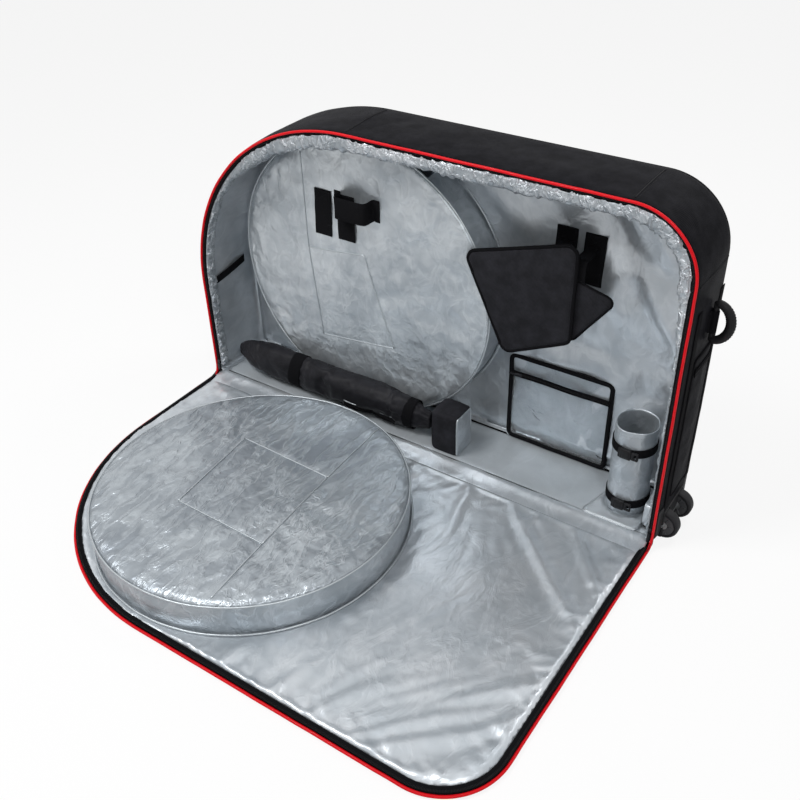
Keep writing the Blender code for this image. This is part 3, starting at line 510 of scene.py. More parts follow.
def wovenPolyester(name, color="#1D1D20", worn="#27272B", roughness=0.62, thread=0.0018, folds=0.0010, gloss=0.05):
    # coarse black polyester pack cloth: threads catch a dull light and the gaps between them stay dark, so that the
    # cloth looks speckled; this is painted into the colour, a painted highlight on the threads and painted shade in the
    # gaps, over a random worn tone; the real threads are 0.6 mm, too fine to show, so they are drawn at about 2 mm
    material, tree, shader = newMaterial(name, color, roughness)
    shader.inputs["Specular IOR Level"].default_value = gloss
    place = addNode(tree, "ShaderNodeTexCoord").outputs["Object"]
    turned = addNode(tree, "ShaderNodeMapping", {"Vector": place, "Rotation": (0.6, 0.5, 0.785)})
    heights = []
    for direction in ("X", "Y"):
        threads = addNode(tree, "ShaderNodeTexWave", {"Vector": turned.outputs["Vector"], "Scale": 0.314 / thread,
                                                      "Distortion": 0.8, "Detail": 1.0, "Detail Scale": 2.0},
                          bands_direction=direction)
        heights.append(threads.outputs["Fac"])
    weave = addNode(tree, "ShaderNodeMath", {0: heights[0], 1: heights[1]}, operation="MULTIPLY")
    cloud = addNode(tree, "ShaderNodeTexNoise", {"Vector": place, "Scale": 34.0, "Detail": 5.0, "Roughness": 0.65})
    # painted highlight on the threads and painted shade in the gaps between them, on a random worn tone from the cloud
    toneAndPaintedLight = addNode(tree, "ShaderNodeMath", {0: weave.outputs["Value"], 1: 0.30, 2: cloud.outputs["Fac"]},
                   operation="MULTIPLY_ADD")
    ramp = addNode(tree, "ShaderNodeValToRGB", {"Fac": toneAndPaintedLight.outputs["Value"]})
    ramp.color_ramp.elements[0].position, ramp.color_ramp.elements[0].color = 0.40, hexColor(color)
    ramp.color_ramp.elements[1].position, ramp.color_ramp.elements[1].color = 0.95, hexColor(worn)
    tree.links.new(ramp.outputs["Color"], shader.inputs["Base Color"])
    creased = addNode(tree, "ShaderNodeTexNoise", {"Vector": place, "Scale": 9.0, "Detail": 4.0, "Distortion": 0.5},
                      noise_type="RIDGED_MULTIFRACTAL")
    low = addNode(tree, "ShaderNodeBump", {"Height": creased.outputs["Fac"], "Strength": 0.6, "Distance": folds})
    high = addNode(tree, "ShaderNodeBump", {"Height": weave.outputs["Value"], "Strength": 0.4, "Distance": 0.0004,
                                            "Normal": low.outputs["Normal"]})
    tree.links.new(high.outputs["Normal"], shader.inputs["Normal"])
    return material


def wovenBand(name, color="#141416", direction="X", rib=0.0030, roughness=0.72):
    # nylon webbing or zip tape, with ribs across the band
    material, tree, shader = newMaterial(name, color, roughness)
    shader.inputs["Specular IOR Level"].default_value = 0.02
    place = addNode(tree, "ShaderNodeTexCoord").outputs["Object"]
    ribs = addNode(tree, "ShaderNodeTexWave", {"Vector": place, "Scale": 0.314 / rib, "Distortion": 0.4,
                                               "Detail": 1.0}, bands_direction=direction)
    fuzz = addNode(tree, "ShaderNodeTexNoise", {"Vector": place, "Scale": 900.0, "Detail": 2.0})
    height = addNode(tree, "ShaderNodeMath", {0: ribs.outputs["Fac"], 1: fuzz.outputs["Fac"]}, operation="ADD")
    bump = addNode(tree, "ShaderNodeBump", {"Height": height.outputs["Value"], "Strength": 0.5, "Distance": 0.0005})
    tree.links.new(bump.outputs["Normal"], shader.inputs["Normal"])
    return material


def plainFinish(name, color, roughness, metallic=0.0, grain=700.0, depth=0.0002, coat=0.0, patch=0.06, gloss=0.5):
    # moulded, sewn or metal parts, whose grain is a fine noise and whose gloss is a little uneven
    material, tree, shader = newMaterial(name, color, roughness, metallic)
    shader.inputs["Coat Weight"].default_value = coat
    shader.inputs["Specular IOR Level"].default_value = gloss
    place = addNode(tree, "ShaderNodeTexCoord").outputs["Object"]
    cloud = addNode(tree, "ShaderNodeTexNoise", {"Vector": place, "Scale": 30.0, "Detail": 3.0})
    worn = addNode(tree, "ShaderNodeMapRange", {"Value": cloud.outputs["Fac"], "From Min": 0.3, "From Max": 0.7,
                                                "To Min": roughness - patch, "To Max": roughness + patch})
    tree.links.new(worn.outputs["Result"], shader.inputs["Roughness"])
    speck = addNode(tree, "ShaderNodeTexNoise", {"Vector": place, "Scale": grain, "Detail": 2.0})
    bump = addNode(tree, "ShaderNodeBump", {"Height": speck.outputs["Fac"], "Strength": 0.4, "Distance": depth})
    tree.links.new(bump.outputs["Normal"], shader.inputs["Normal"])
    return material


def clearVinyl(name):
    # soft PVC sheet: nearly clear, with gloss that wanders over its ripples
    material, tree, shader = newMaterial(name, "#EEF2F5", 0.05)
    shader.inputs["Transmission Weight"].default_value = 0.92
    shader.inputs["IOR"].default_value = 1.30
    place = addNode(tree, "ShaderNodeTexCoord").outputs["Object"]
    ripple = addNode(tree, "ShaderNodeTexNoise", {"Vector": place, "Scale": 18.0, "Detail": 3.0, "Distortion": 1.2})
    bump = addNode(tree, "ShaderNodeBump", {"Height": ripple.outputs["Fac"], "Strength": 1.0, "Distance": 0.012})
    tree.links.new(bump.outputs["Normal"], shader.inputs["Normal"])
    return material


# lining sewn to the walls and the door: broad soft folds and few creases
silverLining = aluminisedLining("aluminisedLining", color="#DEE2E6", shade="#B4BBC1", crease=0.040, depth=0.0012,
                                creaseLinesAndHighlight=0.30, metallic=0.58)
# wheel pockets: crumpled on the wall, harder creased and greyer on the door, plain on their sides
pocketLining = aluminisedLining("aluminisedPocketCloth", color="#E0E5E8", shade="#A8AFB5", crease=0.034, depth=0.0022,
                                creaseLinesAndHighlight=0.28, drawn=0.30)
drumLining = aluminisedLining("aluminisedDrumCloth", color="#BEC5CA", shade="#8B9299", crease=0.026, depth=0.0019,
                              creaseLinesAndHighlight=0.60, drawn=0.24)
# the same cloth painted darker for the pockets' sides, as painted shade; also used on the holster and the frame block
shadedSideLining = aluminisedLining("aluminisedSideClothPaintedShade", color="#C3C9CE", shade="#9BA2A8", crease=0.034, depth=0.0014)
# the roll is crinkled all over, with strong painted highlights along its creases; the board's cloth is stretched nearly
# smooth
rollLining = aluminisedLining("aluminisedPadding", color="#D6DADE", shade="#989FA5", crease=0.016, depth=0.0030,
                              creaseLinesAndHighlight=0.8)
boardCloth = aluminisedLining("aluminisedBoardCloth", color="#CCD2D7", shade="#B5BCC1", crease=0.050, depth=0.0008,
                              roughness=0.44, metallic=0.4, creaseLinesAndHighlight=0.25)
# black cloths: near black outside, a duller grey-black on the pads, slacker and shinier on the sleeve
outerCloth = wovenPolyester("wovenPolyester", color="#141417", worn="#28282C", roughness=0.46, gloss=0.014,
                            folds=0.0036)
coverCloth = wovenPolyester("paddedPolyester", color="#202023", worn="#333338", roughness=0.60, folds=0.0012)
sleeveCloth = wovenPolyester("ripstopPolyester", color="#1D1D20", worn="#303034", roughness=0.40, folds=0.0022,
                             gloss=0.08)
# extruded piping: a clean saturated line in red, a thin bright one in silver, a dull one in black
redCord = plainFinish("vinylPiping", "#DA0C1A", 0.42, grain=500.0, coat=0.04, gloss=0.16)
silverCord = plainFinish("aluminisedPiping", "#B4BABE", 0.36, metallic=0.6, grain=300.0, depth=0.0005)
blackCord = plainFinish("polyesterPiping", "#151517", 0.60, grain=400.0, gloss=0.10)
# woven narrow bands, matt and almost without highlight, ribbed across the way each one runs
tapeBand = wovenBand("zipTape", color="#151517", direction="DIAGONAL", rib=0.0022)
webBand = wovenBand("nylonWebbing", color="#161618", direction="Z", rib=0.0026)
webBandAcross = wovenBand("nylonWebbingAcross", color="#161618", direction="X", rib=0.0026)
coilNylon = plainFinish("nylonCoil", "#18181A", 0.38, gloss=0.22)  # small glints along the zip
threadGrey = plainFinish("polyesterThread", "#9AA0A4", 0.55)  # pale dashes on the lining
threadBlack = plainFinish("blackThread", "#202023", 0.60, gloss=0.10)  # hardly seen on black cloth
# moulded parts: a soft even sheen on nylon, duller on rubber and urethane
moulded = plainFinish("mouldedNylon", "#18181A", 0.40, grain=900.0, gloss=0.20)
mouldedGrey = plainFinish("mouldedHubNylon", "#3C3D40", 0.45, grain=900.0)
skidFinish = plainFinish("mouldedSkidPlate", "#1D1D1F", 0.55, grain=500.0, depth=0.0005)
rubber = plainFinish("rubber", "#1C1C1E", 0.56, grain=500.0, gloss=0.18)
wheelRubber = plainFinish("wheelUrethane", "#242427", 0.50, grain=600.0, gloss=0.20)
# plated metal: bright grey on the axle, dark with soft highlights on the sliders
steelFinish = plainFinish("zincPlatedSteel", "#A9ABAD", 0.32, metallic=1.0, grain=900.0, depth=0.00008)
blackNickel = plainFinish("blackNickel", "#3A3A3D", 0.30, metallic=1.0, grain=1100.0, depth=0.00006)
foamFinish = plainFinish("polyethyleneFoam", "#2A2A2B", 0.90, grain=350.0, depth=0.0008)  # dead matt, pitted
vinyl = clearVinyl("clearVinyl")
print("materials made")


# camera, light and floor

studio = dict(
    cameraPlace=(1.083, -1.6835, 1.5456), yaw=-0.608, pitch=0.625, roll=-0.028, lens=43.69,
    # each lamp's place, what it points at, its size and its power
    keyLight=((-1.0, -1.5, 3.0), (0, -0.3, 0.2), 1.1, 58.0), fillLight=((2.0, -1.9, 2.5), (0, -0.2, 0.3), 1.0, 23.0),
    rimLight=((0.9, 1.6, 2.4), (0, 0, 0.6), 1.0, 16.0), worldForCloth=0.29, floorColor="#FAFAFA", floorGlow=0.86,
    floorReach=40, floorDepth=-0.0006,
)


def makeStudio():
    yaw, pitch, roll = studio["yaw"], studio["pitch"], studio["roll"]
    look = Vector((math.sin(yaw) * math.cos(pitch), math.cos(yaw) * math.cos(pitch), -math.sin(pitch)))
    side = Vector((math.cos(yaw), -math.sin(yaw), 0))
    up = side.cross(look)
    right = side * math.cos(roll) + up * math.sin(roll)
    above = up * math.cos(roll) - side * math.sin(roll)
    view = bpy.data.cameras.new("camera")
    view.lens = studio["lens"]
    view.sensor_width = 36
    view.clip_start = 0.01
    camera = bpy.data.objects.new("camera", view)
    scene.collection.objects.link(camera)
    camera.matrix_world = Matrix((right, above, -look)).transposed().to_4x4()
    camera.location = studio["cameraPlace"]
    scene.camera = camera
    for name in ("keyLight", "fillLight", "rimLight"):
        place, target, size, power = studio[name]
        lamp = bpy.data.lights.new(name, "AREA")
        lamp.size = size
        lamp.energy = power
        item = bpy.data.objects.new(name, lamp)
        scene.collection.objects.link(item)
        item.location = place
        item.rotation_euler = (Vector(target) - Vector(place)).to_track_quat("-Z", "Y").to_euler()
    scene.view_settings.view_transform = "Standard"
    world = bpy.data.worlds.new("studio")
    scene.world = world
    world.use_nodes = True
    tree = world.node_tree
    tree.nodes.clear()
    path = addNode(tree, "ShaderNodeLightPath")
    seen = addNode(tree, "ShaderNodeMath", {0: path.outputs["Is Camera Ray"], 1: path.outputs["Is Glossy Ray"]},
                   operation="MAXIMUM")
    seen = addNode(tree, "ShaderNodeMath", {0: seen.outputs["Value"], 1: path.outputs["Is Transmission Ray"]},
                   operation="MAXIMUM")
    soft = addNode(tree, "ShaderNodeBackground", {"Color": (1, 1, 1, 1), "Strength": studio["worldForCloth"]})
    white = addNode(tree, "ShaderNodeBackground", {"Color": (1, 1, 1, 1), "Strength": 1.0})
    mix = addNode(tree, "ShaderNodeMixShader", {0: seen.outputs["Value"], 1: soft.outputs[0], 2: white.outputs[0]})
    addNode(tree, "ShaderNodeOutputWorld", {"Surface": mix.outputs[0]})
    reach, depth = studio["floorReach"], studio["floorDepth"]
    floor = meshPiece("floor", [(x, y, depth) for x, y in ((-reach, -reach), (reach, -reach), (reach, reach),
                                                           (-reach, reach))], [(0, 1, 2, 3)], smooth=False)
    paint, tree, shader = newMaterial("paintedFloor", studio["floorColor"], 0.8)
    shader.inputs["Specular IOR Level"].default_value = 0.1
    path = addNode(tree, "ShaderNodeLightPath")
    glow = addNode(tree, "ShaderNodeEmission", {"Color": (1, 1, 1, 1), "Strength": 1.0})
    share = addNode(tree, "ShaderNodeMath", {0: path.outputs["Is Camera Ray"], 1: studio["floorGlow"]},
                    operation="MULTIPLY")
    blend = addNode(tree, "ShaderNodeMixShader", {0: share.outputs["Value"], 1: shader.outputs[0], 2: glow.outputs[0]})
    output = next(node for node in tree.nodes if node.type == "OUTPUT_MATERIAL")
    tree.links.new(blend.outputs[0], output.inputs["Surface"])
    floor.data.materials.append(paint)


makeStudio()
print("camera, light and floor made")


# what repeats along a seam: stitches, zip coils

def alongPathTree(name):
    # instances of one small shape along a path, turned to it, made real and given their material
    tree = bpy.data.node_groups.new(name, "GeometryNodeTree")
    face = tree.interface
    face.new_socket("Path", in_out="INPUT", socket_type="NodeSocketGeometry")
    for label in ("Spacing", "Length", "Width", "Height"):
        face.new_socket(label, in_out="INPUT", socket_type="NodeSocketFloat")
    face.new_socket("Up", in_out="INPUT", socket_type="NodeSocketVector")
    face.new_socket("Shape", in_out="INPUT", socket_type="NodeSocketObject")
    face.new_socket("Material", in_out="INPUT", socket_type="NodeSocketMaterial")
    face.new_socket("Result", in_out="OUTPUT", socket_type="NodeSocketGeometry")
    given = addNode(tree, "NodeGroupInput").outputs
    line = addNode(tree, "GeometryNodeMeshToCurve", {"Mesh": given["Path"]})
    even = addNode(tree, "GeometryNodeResampleCurve", {"Curve": line.outputs["Curve"], "Length": given["Spacing"]},
                   mode="LENGTH")
    shape = addNode(tree, "GeometryNodeObjectInfo", {"Object": given["Shape"]})
    along = addNode(tree, "GeometryNodeInputTangent")
    turn = addNode(tree, "FunctionNodeAxesToRotation", {"Primary Axis": along.outputs["Tangent"],
                                                        "Secondary Axis": given["Up"]},
                   primary_axis="X", secondary_axis="Z")
    size = addNode(tree, "ShaderNodeCombineXYZ", {"X": given["Length"], "Y": given["Width"], "Z": given["Height"]})
    copies = addNode(tree, "GeometryNodeInstanceOnPoints",
                     {"Points": even.outputs["Curve"], "Instance": shape.outputs["Geometry"],
                      "Rotation": turn.outputs["Rotation"], "Scale": size.outputs["Vector"]})
    real = addNode(tree, "GeometryNodeRealizeInstances", {"Geometry": copies.outputs["Instances"]})
    finish = addNode(tree, "GeometryNodeSetMaterial", {"Geometry": real.outputs["Geometry"],
                                                       "Material": given["Material"]})
    addNode(tree, "NodeGroupOutput", {"Result": finish.outputs["Geometry"]})
    return tree


def unitShape(name, points, faces):
    item = meshPiece(name, points, faces)
    faceOutwards(item)
    scene.collection.objects.unlink(item)
    return item


def stitchShape(sides=6):
    # a thread sunk at both ends, one unit long
    points = []
    for x, size in ((-0.5, 0.15), (-0.38, 0.85), (0, 1.0), (0.38, 0.85), (0.5, 0.15)):
        sunk = 0.5 if size < 0.5 else 0.05
        for k in range(sides):
            angle = math.pi * 2 * k / sides
            points.append((x, 0.5 * size * math.cos(angle), 0.5 * size * math.sin(angle) - sunk))
    ends = [tuple(range(sides)), tuple(range(4 * sides, 5 * sides))]
    return unitShape("stitchShape", points, turnedOver(gridFaces(5, sides, ring=True)) + ends)


def coilShape(turns=7, sides=5):
    # one turn of a nylon zip coil: a short loop across the tape
    points = []
    for step in range(turns):
        angle = math.pi * step / (turns - 1)
        center = Vector((0, -0.5 * math.cos(angle), 0.45 * math.sin(angle)))
        ray = Vector((0, -math.cos(angle), math.sin(angle)))
        for k in range(sides):
            turn = math.pi * 2 * k / sides
            points.append(tuple(center + ray * 0.22 * math.cos(turn) + Vector((0.36 * math.sin(turn), 0, 0))))
    ends = [tuple(range(sides)), tuple(range((turns - 1) * sides, turns * sides))]
    return unitShape("coilShape", points, turnedOver(gridFaces(turns, sides, ring=True)) + ends)


seamTree = alongPathTree("alongSeam")
stitch = stitchShape()
coil = coilShape()
mainZip = dict(spacing=0.0026, length=0.00143, width=0.0042, height=0.0022)
smallZip = dict(spacing=0.0024, length=0.0013, width=0.0040, height=0.0020)


def runAlong(name, paths, shape, material, spacing, length, width, height, up, closed=False):
    # paths are lists of points; the result is one plain mesh
    points, edges = [], []
    for path in paths:
        base = len(points)
        points += [tuple(p) for p in path]
        edges += [(base + i, base + i + 1) for i in range(len(path) - 1)]
        if closed:
            edges.append((len(points) - 1, base))
    mesh = bpy.data.meshes.new(name)
    mesh.from_pydata(points, edges, [])
    item = bpy.data.objects.new(name, mesh)
    scene.collection.objects.link(item)
    seam = item.modifiers.new("alongSeam", "NODES")
    seam.node_group = seamTree
    values = dict(Spacing=spacing, Length=length, Width=width, Height=height, Up=up, Shape=shape, Material=material)
    for socket in seamTree.interface.items_tree:
        if socket.in_out == "INPUT" and socket.name in values:
            seam[socket.identifier] = values[socket.name]
    applyModifiers(item)
    item.data.shade_smooth()
    return item


def sewLine(name, paths, up, body, material=None, pitch=0.0062, thickness=0.0011, closed=False):
    # a row of stitches; the real pitch is about 3.5 mm, drawn at 6 mm so that it shows
    item = runAlong(name, paths, stitch, material or threadGrey, pitch, pitch * 0.72, thickness, thickness, up, closed)
    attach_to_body(item, body)


def zipCoil(name, path, up, body, sizes):
    # the nylon teeth of one zip
    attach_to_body(runAlong(name, [path], coil, coilNylon, up=up, **sizes), body)


# tubes and bands

def tangentsOf(path, closed):
    if closed:
        steps = np.roll(path, -1, axis=0) - np.roll(path, 1, axis=0)
    else:
        steps = np.vstack([path[1:], path[-1:]]) - np.vstack([path[:1], path[:-1]])
    return steps / np.linalg.norm(steps, axis=1)[:, None]


def tubeAlong(name, path, radius, *materials, closed=False, sides=8, up=(0, 0, 1)):
    # a round tube; radius is one value or one for each point
    path = np.asarray(path, float)
    count = len(path)
    radii = np.broadcast_to(np.asarray(radius, float), (count,))
    tangent = tangentsOf(path, closed)
    side = np.cross(tangent, np.asarray(up, float))
    side /= np.maximum(np.linalg.norm(side, axis=1), 1e-9)[:, None]
    above = np.cross(side, tangent)
    coords = []
    for i in range(count):
        for k in range(sides):
            angle = 2 * math.pi * k / sides
            coords.append(path[i] + radii[i] * (math.cos(angle) * side[i] + math.sin(angle) * above[i]))
    faces = gridFaces(count, sides, closed, ring=True)
    if not closed:
        faces += [tuple(range(sides)), tuple(range((count - 1) * sides, count * sides))[::-1]]
    return faceOutwards(meshPiece(name, coords, faces, *materials))


def wobbly(path, amount, seed=0.0):
    # sewn cord never runs quite true
    path = np.asarray(path, float)
    return path + amount * np.column_stack([wave(path, 0.07, seed + k) for k in range(3)])


def bandAlong(name, path, width, thickness, across, *materials, closed=False, wobble=0.0):
    # flat webbing with rounded selvages that follows a path; across is the direction of its width
    path = np.asarray(path, float)
    count = len(path)
    tangent = tangentsOf(path, closed)
    wide = np.broadcast_to(np.asarray(across, float), (count, 3)).copy()
    wide -= tangent * (wide * tangent).sum(1)[:, None]
    wide /= np.linalg.norm(wide, axis=1)[:, None]
    normal = np.cross(tangent, wide)
    upper = [(-0.5, 0.4), (-0.48, 1), (-0.17, 1.0), (0.17, 1.0), (0.48, 1), (0.5, 0.4)]
    section = upper + [(u, -v) for u, v in reversed(upper)]
    run = np.concatenate([[0], np.cumsum(np.linalg.norm(np.diff(path, axis=0), axis=1))])
    coords, uv = [], []
    for i in range(count):
        for u, v in section:
            bend = wobble * math.cos(u * math.pi) * math.sin(run[i] * 60 + 1.3)
            coords.append(path[i] + wide[i] * u * width + normal[i] * (v * thickness / 2 + bend))
            uv.append((run[i], u * width))
    sides = len(section)
    faces = gridFaces(count, sides, closed, ring=True)
    if not closed:
        faces += [tuple(range(sides)), tuple(range((count - 1) * sides, count * sides))]
    return faceOutwards(meshPiece(name, coords, faces, *materials, uv=uv), merge=0)


def joinPieces(name, *items):
    # several meshes as one piece, each keeping its material
    bodies = bmesh.new()
    materials = []
    for item in items:
        mesh = item.data
        offset = len(materials)
        materials += list(mesh.materials)
        before = len(bodies.faces)
        bodies.from_mesh(mesh)
        bodies.faces.ensure_lookup_table()
        for face in bodies.faces[before:]:
            face.material_index += offset
    joined = bpy.data.meshes.new(name)
    bodies.to_mesh(joined)
    bodies.free()
    for item in items:
        bpy.data.objects.remove(item)
    piece = bpy.data.objects.new(name, joined)
    scene.collection.objects.link(piece)
    for material in materials:
        joined.materials.append(material)
    return piece


# plane outlines, puffed plates and rounded boxes

def roundCorners(corners, radius, steps=5):
    points = []
    count = len(corners)
    for index in range(count):
        corner = Vector(corners[index])
        before = (Vector(corners[index - 1]) - corner).normalized()
        after = (Vector(corners[(index + 1) % count]) - corner).normalized()
        half = before.angle(after) / 2
        middle = corner + (before + after).normalized() * (radius / math.sin(half))
        first = corner + before * (radius / math.tan(half)) - middle
        last = corner + after * (radius / math.tan(half)) - middle
        begin = math.atan2(first.y, first.x)
        turn = (math.atan2(last.y, last.x) - begin + math.pi) % (2 * math.pi) - math.pi
        points += [(middle.x + radius * math.cos(begin + turn * s / steps),
                    middle.y + radius * math.sin(begin + turn * s / steps)) for s in range(steps + 1)]
    return np.array(points)


def evenLoop(points, spacing, closed=True):
    # a loop or line resampled at an even spacing
    points = np.asarray(points, float)
    ring = np.vstack([points, points[:1]]) if closed else points
    run = np.concatenate([[0], np.cumsum(np.linalg.norm(np.diff(ring, axis=0), axis=1))])
    count = max(3, round(run[-1] / spacing))
    at = np.linspace(0, run[-1], count + 1)
    if closed:
        at = at[:-1]
    return np.column_stack([np.interp(at, run, ring[:, k]) for k in range(ring.shape[1])])


def evenLine(points, spacing):
    return evenLoop(points, spacing, closed=False)


def puffPlate(name, outline, spacing, low, high, lowCrown, highCrown, edge, *materials, wrinkle=0.0, seed=0.0):
    # a sewn pad, drawn flat: both faces rise from the seam round its edge; x and y are the plane, z its thickness
    loop = evenLoop(outline, spacing)
    plane, faces = fillOutline(loop, spacing)
    away = distanceToLoops(plane, [loop])
    rise = 1 - np.exp(-away / edge)
    middle = (low + high) / 2
    lumps = wrinkle * wave(raised(plane), 0.05, seed) * np.clip(away / edge, 0, 1)
    fullness = np.sqrt(np.clip(rise * 1.4, 0, 1))
    inward = smoothStep(0, 0.08, away)
    top = middle + (high - middle) * fullness + highCrown * rise * inward + lumps
    base = middle - (middle - low) * fullness - lowCrown * rise * inward + lumps * 0.3
    # the seam's own points are shared by both faces
    count = len(loop)
    remap = list(range(count)) + list(range(len(plane), len(plane) + len(plane) - count))
    coords = np.vstack([raised(plane, top), raised(plane, base)[count:]])
    joined = [tuple(face) for face in faces] + [tuple(remap[v] for v in reversed(face)) for face in faces]
    return meshPiece(name, coords, joined, *materials, uv=coords[:, :2])


def placeBy(item, axes, origin=(0, 0, 0)):
    # turns a piece drawn flat so that its x, y and z go along the given directions
    coords = coordsOf(item)
    setCoords(item, coords @ np.array(axes, float) + origin)
    if np.linalg.det(np.array(axes, float)) < 0:
        item.data.flip_normals()
    return item


standUp = ((1, 0, 0), (0, 0, 1), (0, 1, 0))  # drawn x stays, y becomes up, z becomes depth


def softBox(name, low, high, radius, *materials, cuts=8, crown=0.0, wrinkle=0.0, seed=0.0):
    # a box with rounded edges whose faces may swell
    low, high = np.array(low, float), np.array(high, float)
    half, center = (high - low) / 2, (high + low) / 2
    body = bmesh.new()
    bmesh.ops.create_cube(body, size=2)
    bmesh.ops.subdivide_edges(body, edges=body.edges, cuts=cuts, use_grid_fill=True)
    mesh = bpy.data.meshes.new(name)
    body.to_mesh(mesh)
    body.free()
    item = addObject(name, mesh, *materials)
    unit = coordsOf(item)
    unit = np.sign(unit) * (1 - (1 - np.abs(unit)) ** 1.25)  # more points near the edges
    radius = min(radius, half.min() * 0.98)
    core = np.clip(unit * half, -(half - radius), half - radius)
    ray = unit * half - core
    length = np.maximum(np.linalg.norm(ray, axis=1), 1e-9)[:, None]
    coords = core + ray / length * radius
    normal = ray / length
    swell = np.ones(len(unit))
    for k in range(3):
        swell *= np.where(np.abs(normal[:, k]) > 0.7, 1, np.cos(unit[:, k] * math.pi / 2) ** 0.7 + 1e-9)
    coords += normal * (crown * swell)[:, None]
    if wrinkle:
        coords += normal * (wrinkle * wave(coords + center, 0.03, seed))[:, None]
    setCoords(item, coords + center)
    return item


def surfaceOf(item):
    # a piece's mesh, ready to be met by lines
    body = bmesh.new()
    body.from_mesh(item.data)
    tree = bvhtree.BVHTree.FromBMesh(body)
    body.free()
    return tree


def surfaceHeights(surface, path, axis, lift=0.0, far=1.0):
    # where lines along one axis meet the outer face, lifted a little off it
    axis = Vector(axis)
    found = []
    for point in path:
        hit = surface.ray_cast(Vector(point) + axis * far, -axis)[0]
        found.append(tuple(hit) if hit is not None else tuple(point))
    return np.array(found) + np.array(axis) * lift


# the shell: outer cloth, foam and lining

shell = dict(backRadius=0.024, crown=0.0040, lumps=0.0022, ripples=0.0012, spacing=0.012, backSpacing=0.016,
             backSwell=0.006, clothThickness=0.0012, coreInset=0.0054, coreRadius=0.020, coreThickness=0.0066,
             liningSpacing=0.008, wallSpacing=0.012, liningRadius=0.014, liningThickness=0.0008, liningWrinkle=0.004,
             wallGrowth=0.012, wallReach=0.014, looseFolds=0.012)


def backFill(name, inset, y, spacing, ringSpacing, *materials):
    # a back wall whose edge is the gusset's own ring at that inset, with its points and how far they are from it
    points, normals = outlineSamples(ringSpacing)
    loop = points + normals * inset
    plane, faces = fillOutline(loop, spacing)
    wall = meshPiece(name, frontView(plane, y), faces, *materials, uv=plane)
    coords = coordsOf(wall)
    return wall, coords, distanceToLoops(coords[:, (0, 2)], [loop])


def shellProfile(frontInset, inset, frontY, backY, radius, steps=6, rows=12):
    # from the front lip, along the gusset and round the back edge
    lip, slant = 0.0014, 0.0003
    if frontInset < inset:
        profile = [(frontInset, frontY), (inset - lip, frontY), (inset - slant, frontY + 0.0004)]
    else:
        profile = [(frontInset, frontY), ((frontInset + inset) / 2, frontY), (inset + lip, frontY),
                   (inset + slant, frontY + 0.0004)]
    y0, y1 = frontY + lip, backY - radius
    profile += [(inset, y0 + (y1 - y0) * step / rows) for step in range(rows + 1)]
    profile += [(inset + radius * (1 - math.cos(math.pi / 2 * s / steps)),
                 y1 + radius * math.sin(math.pi / 2 * s / steps)) for s in range(1, steps + 1)]
    return profile


def pushIn(coords, normals, amount):
    # points of the gusset moved along its inward normals
    moved = coords.copy()
    moved[:, (0, 2)] += normals * amount[:, None]
    return moved


def cutWheelWell(item, margin=0.0004, past=0.05):
    # a clean rectangular hole for the wheel housing through a finished shell
    low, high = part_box("wheel_housing")
    corners = [(x, y, z) for x in (low.x - margin, high.x + past) for y in (low.y - margin, high.y + margin)
               for z in (-past, high.z + margin)]
    cutter = meshPiece("cutter", corners, [(0, 1, 3, 2), (4, 6, 7, 5), (0, 4, 5, 1), (2, 3, 7, 6), (0, 2, 6, 4),
                                           (1, 5, 7, 3)])
    hole = item.modifiers.new("hole", "BOOLEAN")
    hole.object = cutter
    hole.solver = "EXACT"
    applyModifiers(item)
    bpy.data.objects.remove(cutter)


def wallPocketShare(coords):
    # 1 behind the wall pocket, where the back lining lies flat
    low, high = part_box("wall_pocket_side")
    radius = (high.x - low.x) / 2
    away = np.linalg.norm(coords[:, (0, 2)] - np.array((low.x + radius, low.z + radius)), axis=1)
    return 1 - smoothStep(radius - 0.02, radius + 0.03, away)


def makeOuterShell():
    front, back = bag["front"], bag["back"]

    def swell(coords, run, normals):
        # the padded gusset bulges a little between its two edges and is not quite even
        across = np.clip((coords[:, 1] - front) / (back - front), 0, 1)
        free = np.sin(math.pi * across) * smoothStep(bag["bottom"] + 0.02, bag["bottom"] + 0.12, coords[:, 2])
        out = shell["crown"] * free
        out += shell["lumps"] * wave(coords, 0.16, 1) * free
        out += shell["ripples"] * wave(coords, 0.06, 4) * free
        return pushIn(coords, normals, -out)

    profile = shellProfile(0.0108, 0, front - 0.0001, back, shell["backRadius"])
    outer = sweepOutline("outerGusset", shell["spacing"], profile, outerCloth, shape=swell)
    panel, coords, edge = backFill("outerBack", shell["backRadius"], back, shell["backSpacing"], shell["spacing"],
                                   outerCloth)
    inner = smoothStep(0, 0.12, edge)
    coords[:, 1] += inner * (shell["backSwell"] + 0.0022 * wave(coords, 0.20, 6) + 0.0008 * wave(coords, 0.07, 3))
    setCoords(panel, coords)
    piece = weld(joinPieces("outerShell", outer, panel))
    thicken(piece, shell["clothThickness"])
    cutWheelWell(piece)
    shell["outer"] = piece
    attach(piece, "bag", "gusset_fabric", "back_panel_fabric", slot="black_polyester")


def makeCore():
    inset, radius, spacing = shell["coreInset"], shell["coreRadius"], 0.03
    back = bag["back"] - inset
    profile = shellProfile(inset + 0.0001, inset, bag["front"] + 0.0006, back, radius, rows=3, steps=4)
    core = weld(joinPieces("foamCore", sweepOutline("coreGusset", spacing, profile, foamFinish),
                           backFill("coreBack", inset + radius, back, 0.05, spacing, foamFinish)[0]))
    thicken(core, shell["coreThickness"], offset=0)
    cutWheelWell(core)
    attach(core, "bag", "gusset_foam", "back_panel_foam", slot="black_foam")


